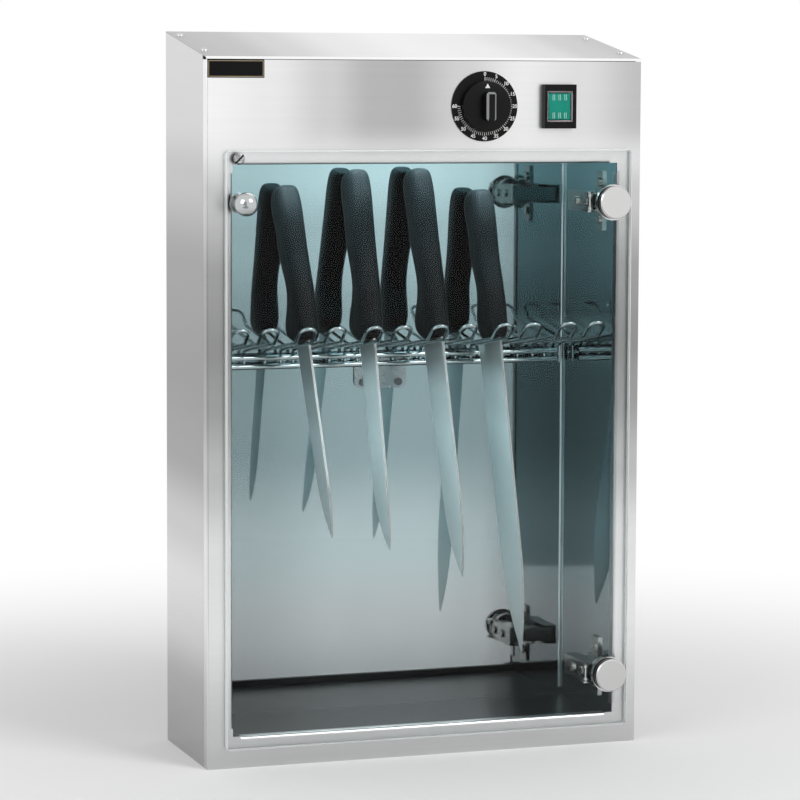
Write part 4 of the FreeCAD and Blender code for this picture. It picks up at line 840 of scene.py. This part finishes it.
def dressed_piece(piece, body, finish_made, replaced=()):
    """The last steps of every piece: outward faces, shading, finish and body."""
    placed(piece)
    bpy.ops.object.mode_set(mode="EDIT")
    bpy.ops.mesh.select_all(action="SELECT")
    bpy.ops.mesh.normals_make_consistent(inside=False)
    bpy.ops.object.mode_set(mode="OBJECT")
    bpy.ops.object.shade_smooth_by_angle(angle=radians(32))
    if not piece.data.materials:
        piece.data.materials.append(finish_made)
    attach(piece, body)
    if replaced:
        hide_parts(*replaced)
    print(piece.name, "faces:", len(piece.data.polygons))


# %% [markdown]
# ## The timer's dial
# The dial is printed in white: a number at every fifth minute, a line at every minute, and a
# quarter of the round left plain, because the timer turns through 270 degrees in an hour. The
# print could be a texture, but real letters stay sharp at any distance and need no image. Each
# number is a text object that is turned into a mesh, and the lines are copies of two thin blocks.

# %% Print of the dial
dial_low, dial_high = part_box("timer_dial")
dial_middle = Vector(((dial_low.x + dial_high.x) / 2, dial_low.y,
                      (dial_low.z + dial_high.z) / 2)) / MM
INK, LETTER_SWELL = 0.12, 0.06
DEGREES_PER_MINUTE = 4.5
LINE_INNER, LONG_LINE, SHORT_LINE = 21.9, (25.0, 0.5), (24.7, 0.36)


def on_dial(radius, minute):
    """A place on the dial, clockwise from the top."""
    turn = radians(DEGREES_PER_MINUTE * minute)
    return dial_middle + Vector((radius * sin(turn), -INK / 2, radius * cos(turn)))


def number_print(minute, size=4.4, radius=27.3):
    nothing_selected()
    bpy.ops.object.text_add()
    made = bpy.context.object
    made.data.body = str(minute)
    made.data.align_x, made.data.align_y = "CENTER", "CENTER"
    made.data.size = size * MM
    made.data.extrude = INK / 2 * MM
    made.data.offset = LETTER_SWELL * MM
    bpy.ops.object.convert(target="MESH")
    made = bpy.context.object
    made.rotation_euler = (radians(90), 0, 0)
    made.location = on_dial(radius, minute) * MM
    placed(made)
    return made


def minute_line(minute):
    """A copy of the long or the short line, turned to its minute."""
    made = copied(short_line if minute % 5 else long_line)
    made.rotation_euler = (0, radians(DEGREES_PER_MINUTE * minute), 0)
    made.location = on_dial(0, 0) * MM
    placed(made)
    return made


numbers = [number_print(minute) for minute in range(0, 61, 5)]
long_line, short_line = [
    block("line", (-wide / 2, -INK / 2, LINE_INNER), (wide / 2, INK / 2, outer))
    for outer, wide in (LONG_LINE, SHORT_LINE)]
lines = [minute_line(minute) for minute in range(61)]
for model in (long_line, short_line):
    bpy.data.objects.remove(model)
dial_print = joined(numbers + lines, "timer_dial_print")
dressed_piece(dial_print, "cabinet", print_white)

# %% [markdown]
# The timer's knob is a round disc with a bar across it to grip. The bar narrows towards its face
# and has wide flat chamfers, and these catch the light as pale lines. So the bar is a block
# whose front face is scaled in edit mode, and a bevel of one segment cuts the chamfers. Their
# faces then get a lighter grey finish of their own, picked by the way they face: the pale lines
# are a painted highlight.

# %% Knob of the timer
knob_low, knob_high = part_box("timer_knob")
knob_back, knob_front = knob_high.y / MM, knob_low.y / MM
DISC_THICK, DISC_RADIUS, DISC_BEVEL = 6.2, 21.5, 0.8
GRIP_HALF, GRIP_FOOT, GRIP_SUNK, GRIP_CHAMFER = 12.5, 6.25, 0.2, 1.7
WIDTH_SHARE, LENGTH_SHARE = 0.7, 0.97
FORWARDS, SLANT_LEAST, SLANT_MOST = -0.3, 0.4, 0.95
disc_face = knob_back - DISC_THICK
chamfer_highlight = moulded("chamfer_highlight", (0.24, 0.25, 0.25, 1), 0.3, 2500.0, 0.000002, 0.5)

disc = round_bar("disc", (dial_middle.x, (knob_back + disc_face) / 2, dial_middle.z), DISC_RADIUS,
                 DISC_THICK, 128)
bevelled(disc, DISC_BEVEL)
grip = block("grip", (dial_middle.x - GRIP_FOOT, knob_front, dial_middle.z - GRIP_HALF),
             (dial_middle.x + GRIP_FOOT, disc_face + GRIP_SUNK, dial_middle.z + GRIP_HALF))
for face in grip.data.polygons:
    face.select = face.normal.y < -STEEP
bpy.ops.object.mode_set(mode="EDIT")
bpy.ops.mesh.select_mode(type="FACE")
bpy.ops.transform.resize(value=(WIDTH_SHARE, 1, LENGTH_SHARE))
bpy.ops.object.mode_set(mode="OBJECT")
bevelled(grip, GRIP_CHAMFER, segments=1)
for piece in (disc, grip):
    piece.data.materials.append(black_plastic)
# The lighter grey of the chamfers is a painted highlight.
grip.data.materials.append(chamfer_highlight)
for face in grip.data.polygons:
    normal = face.normal
    slanted = any(SLANT_LEAST < part < SLANT_MOST for part in (abs(normal.x), normal.z))
    if normal.y < FORWARDS and slanted:
        face.material_index = 1
knob = joined([grip, disc], "timer_knob_disc_and_grip")
dressed_piece(knob, "timer_knob_and_spindle", black_plastic, ["timer_knob"])

# %% [markdown]
# A white triangle on the disc points at the time that is left. A round bar of three sides is one.

# %% Pointer
POINTER_RADIUS, POINTER_PLACE = 2.5, 16.8
pointer_middle = (dial_middle.x, disc_face - INK / 2, dial_middle.z + POINTER_PLACE)
pointer = round_bar("timer_pointer", pointer_middle, POINTER_RADIUS, INK, sides=3)
dressed_piece(pointer, "timer_knob_and_spindle", print_white)

# %% [markdown]
# ## The mains switch
# A pale lining stands in the black bezel's window, round a teal rocker that is lit from behind.
# The rocker carries three short pairs of pale strokes at its top and its foot. The lining is a
# block that is opened from front to back, and the strokes are copies of one thin block of ink.

# %% Lining, rocker and strokes
window_low, window_high = (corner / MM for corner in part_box("switch_cover"))
rocker_low, rocker_high = (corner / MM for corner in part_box("switch_rocker"))
LINING_THICK, LINING_DEPTH, LINING_BEVEL, SLACK = 1.2, 3.6, 0.15, 0.1
lining_pink = moulded("lining_pink", (0.50, 0.41, 0.43, 1), 0.35, 2500.0, 0.000002, 0.3)
outer_low = Vector((window_low.x + SLACK, window_high.y + SLACK, window_low.z + SLACK))
outer_high = Vector((window_high.x - SLACK, window_high.y + LINING_DEPTH, window_high.z - SLACK))
lining = block("switch_lining", outer_low, outer_high)
opened(lining, LINING_THICK)
bevelled(lining, LINING_BEVEL, segments=2)
dressed_piece(lining, "cabinet", lining_pink)

ROCKER_HALF_WIDTH, ROCKER_HALF_HEIGHT, ROCKER_THICK, ROCKER_BEVEL = 10.2, 11.4, 2.2, 0.7
STEM_HALF = 8.5
middle = (rocker_low + rocker_high) / 2
front, back = rocker_low.y, rocker_low.y + ROCKER_THICK
cap = block("cap", (middle.x - ROCKER_HALF_WIDTH, front, middle.z - ROCKER_HALF_HEIGHT),
            (middle.x + ROCKER_HALF_WIDTH, back, middle.z + ROCKER_HALF_HEIGHT))
bevelled(cap, ROCKER_BEVEL)
stem = block("stem", (middle.x - STEM_HALF, back - SLACK, middle.z - STEM_HALF),
             (middle.x + STEM_HALF, rocker_high.y, middle.z + STEM_HALF))
lit_rocker = joined([cap, stem], "lit_rocker")
dressed_piece(lit_rocker, "switch_rocker", teal_plastic, ["switch_rocker"])

stroke_ink = moulded("stroke_ink", (0.42, 0.72, 0.62, 1), 0.4, 2500.0, 0.000002, 0.3)
PAIRS, PAIR_APART, STROKE_FEET = (-5.4, 0.0, 5.4), (-0.75, 0.75), (-10.2, 5.2)
STROKE_HALF, STROKE_LENGTH = 0.3, 5.0
stroke = block("stroke", (-STROKE_HALF, front - INK, 0), (STROKE_HALF, front + INK, STROKE_LENGTH))
strokes = []
for pair in PAIRS:
    for aside in PAIR_APART:
        for foot in STROKE_FEET:
            made = copied(stroke)
            made.location = Vector((middle.x + pair + aside, 0, middle.z + foot)) * MM
            placed(made)
            strokes.append(made)
bpy.data.objects.remove(stroke)
rocker_strokes = joined(strokes, "rocker_strokes")
dressed_piece(rocker_strokes, "switch_rocker", stroke_ink)

# %% [markdown]
# ## The blank plate
# The plate at the top left carries no name. A thin pale line runs round it inside its edge, as
# on a plate that waits for its print: a block that is opened like the switch's lining.

# %% Line round the blank plate
plate_low, plate_high = (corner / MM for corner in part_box("name_plate"))
PLATE_MARGIN, LINE_WIDE = 0.9, 0.35
plate_ink = moulded("plate_ink", (0.55, 0.44, 0.28, 1), 0.35, 2500.0, 0.000002, 0.4)
plate_line = block("name_plate_line",
                   (plate_low.x + PLATE_MARGIN, plate_low.y - INK, plate_low.z + PLATE_MARGIN),
                   (plate_high.x - PLATE_MARGIN, plate_low.y + INK, plate_high.z - PLATE_MARGIN))
opened(plate_line, LINE_WIDE)
dressed_piece(plate_line, "cabinet", plate_ink)

# %% [markdown]
# ## Bent corners of the chamber
# Where the back of the chamber meets its sides the sheet is bent, not sharp. The small hollow
# radius gathers light from every side and shows as one bright upright line. It is a tube without
# ends of which three quarters are deleted, and Solidify gives the rest the sheet's thickness.

# %% Corner radii
wall_low, wall_high = (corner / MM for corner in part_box("chamber_back"))
inner_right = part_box("chamber_right_wall")[0].x / MM
inner_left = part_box("chamber_left_wall")[1].x / MM
floor_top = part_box("chamber_floor")[1].z / MM
BEND, SHEET, SHORTER = 2.2, 0.3, 1
# The corner steel's teal tint is painted light of the chamber's lamp.
corner_steel = bright("corner_steel", (0.50, 0.59, 0.61, 1), 0.2, 0.05)


def corner_radius(name, corner_x, side):
    """A hollow quarter round in the corner; side is 1 on the right and -1 on the left."""
    middle = Vector((corner_x - side * BEND, wall_low.y - BEND, (floor_top + wall_high.z) / 2))
    tube = round_bar(name, middle, BEND, wall_high.z - floor_top - SHORTER, sides=48,
                     turn=(0, 0, 0), ends="NOTHING")
    middle = middle * MM
    for face in tube.data.polygons:
        away = face.center - middle
        face.select = away.x * side < 0 or away.y < 0
    bpy.ops.object.mode_set(mode="EDIT")
    bpy.ops.mesh.select_mode(type="FACE")
    bpy.ops.mesh.delete(type="FACE")
    bpy.ops.object.mode_set(mode="OBJECT")
    with_modifier(tube, "SOLIDIFY", thickness=SHEET * MM, offset=-1)
    dressed_piece(tube, "cabinet", corner_steel)


corner_radius("chamber_corner_right", inner_right, 1)
corner_radius("chamber_corner_left", inner_left, -1)

# %% [markdown]
# ## Ground blades
# A blade is thickest along its back and is ground thinner towards the edge, and a last narrow
# bevel is honed along the edge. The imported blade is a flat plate, so each blade is cut afresh
# from a bar, as a grinder would.
#
# The outline comes first. lean and aside are the degrees by which a knife hangs out of plumb,
# and the rest are millimetres: how long and how wide the blade is, how far its spine lies in
# front of its handle's middle, how much it tapers, and where its point is. Two arcs, each
# through three points, run from the straight part of spine and edge to the point.

# %% Outline of a blade
BLADE_THICK, EDGE_THICK, HONE_THICK, HONE_ANGLE = 2.0, 0.6, 0.08, 14
TWIST = 4
TANG_WIDTH, TANG_LENGTH = 12, 58
HEEL, ARC_START, ARC_MIDDLE, BELLY, RIDGE = 0.05, 0.65, 0.825, 0.26, 0.3
KNIVES = {
    1: dict(lean=19.3, aside=2, length=173, front=6.5, width=31.5, taper=6, tip=1),
    2: dict(lean=17, aside=-0.6, length=185, front=11.5, width=34, taper=3, tip=-6),
    3: dict(lean=15.7, aside=1.2, length=210, front=15, width=44, taper=7, tip=-1),
    4: dict(lean=12, aside=1.5, length=275, front=14.5, width=51, taper=8, tip=4),
}


def arc_points(first, middle, last, steps=9):
    """Points on the circle through three points, as (across, along)."""
    ax, ay, bx, by, cx, cy = *first, *middle, *last
    twice = 2 * (ax * (by - cy) + bx * (cy - ay) + cx * (ay - by))
    a, b, c = ax * ax + ay * ay, bx * bx + by * by, cx * cx + cy * cy
    centre = Vector(((a * (by - cy) + b * (cy - ay) + c * (ay - by)) / twice,
                     (a * (cx - bx) + b * (ax - cx) + c * (bx - ax)) / twice))
    start, end = Vector(first) - centre, Vector(last) - centre
    turn = start.angle_signed(end)
    points = []
    for step in range(steps + 1):
        angle = -turn * step / steps
        points.append(centre + Vector((start.x * cos(angle) - start.y * sin(angle),
                                       start.x * sin(angle) + start.y * cos(angle))))
    return points


def blade_outline(size):
    """The curved front and rear lines of a blade, from the straight part to the point."""
    length, tip = size["length"], size["tip"]
    spine = -size["front"]
    edge = spine + size["width"]
    shoulder = edge - size["taper"]
    belly = (shoulder + tip) / 2 + BELLY * (shoulder - tip)
    ridge = (spine + tip) / 2 - RIDGE * (tip - spine)
    start, middle, point = -ARC_START * length, -ARC_MIDDLE * length, (tip, -length)
    front_line = arc_points((spine, start), (ridge, middle), point)
    rear_line = arc_points((shoulder, start), (belly, middle), point)
    return front_line, [Vector((edge, -HEEL * length))] + rear_line


print("blades to grind:", len(KNIVES))

# %% [markdown]
# Then the blade is ground. Bisecting planes take off what lies outside the outline, one for each
# short stretch of it. Two slanted planes grind the sides, and short ones hone the bevel along
# the edge. The tang that goes into the handle is a plain block, joined on at the end.

# %% Grinding
def cut(place, outward):
    """Takes off what lies beyond a plane and closes the cut."""
    bpy.ops.mesh.select_all(action="SELECT")
    bpy.ops.mesh.bisect(plane_co=place * MM, plane_no=outward, use_fill=True,
                        clear_outer=True)


def outline_cuts(line, outward_sign):
    """(place, outward direction across and along) of each short stretch of an outline."""
    cuts = []
    for start, end in zip(line, line[1:]):
        along = (end - start).normalized()
        cuts.append((start, Vector((-along.y, along.x)) * outward_sign))
    return cuts


def ground_blade(number):
    size = KNIVES[number]
    front_line, rear_line = blade_outline(size)
    spine, edge = -size["front"], size["width"] - size["front"]
    half, thin, hone = BLADE_THICK / 2, EDGE_THICK / 2, radians(HONE_ANGLE)
    blade = block("blade", (-half, spine, -size["length"]), (half, edge, 0))
    bpy.ops.object.mode_set(mode="EDIT")
    for place, outward in outline_cuts(front_line, -1) + outline_cuts(rear_line, 1):
        cut(Vector((0, place.x, place.y)), Vector((0, outward.x, outward.y)))
    for side in (-1, 1):
        cut(Vector((side * half, spine, 0)), Vector((side, (half - thin) / (edge - spine), 0)))
    for place, outward in outline_cuts(rear_line, 1):
        for side in (-1, 1):
            slant = Vector((side * cos(hone), outward.x * sin(hone), outward.y * sin(hone)))
            cut(Vector((side * HONE_THICK / 2, place.x, place.y)), slant)
    bpy.ops.object.mode_set(mode="OBJECT")
    tang = block("tang", (-half, -TANG_WIDTH / 2, -1), (half, TANG_WIDTH / 2, TANG_LENGTH))
    return joined([blade, tang], "knife_%d_ground_blade" % number), size


# %% [markdown]
# Each blade was made upright, and now it is turned as its knife hangs. Its place is found from
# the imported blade's own corners, turned back upright, so that both points come to lie together.

# %% Laying each blade into its place
def blade_turn(size):
    """How a knife hangs: turned about itself, leant to the front and leant aside."""
    return (Matrix.Rotation(radians(-size["aside"]), 3, "Y")
            @ Matrix.Rotation(radians(-size["lean"]), 3, "X")
            @ Matrix.Rotation(radians(TWIST), 3, "Z"))


for number in KNIVES:
    blade, size = ground_blade(number)
    turn = blade_turn(size)
    packed = nodes["knife_%d_blade" % number]
    upright = [turn.transposed() @ corner.co for corner in packed.data.vertices]
    middle = (min(p.x for p in upright) + max(p.x for p in upright)) / 2
    origin = Vector((middle, min(p.y for p in upright) + size["front"] * MM,
                     min(p.z for p in upright) + size["length"] * MM))
    blade.matrix_world = turn.to_4x4()
    blade.location = turn @ origin
    dressed_piece(blade, "cabinet", blade_steel, ["knife_%d_blade" % number])
    lows = [min(corner.co.z for corner in piece.data.vertices) for piece in (blade, packed)]
    print("blade", number, "point at %.4f, packed at %.4f" % tuple(lows))

# %% [markdown]
# ## Last update
# The view layer is brought up to date. The dressed model must not be larger than the
# imported one.

# %% Last update
bpy.context.view_layer.update()
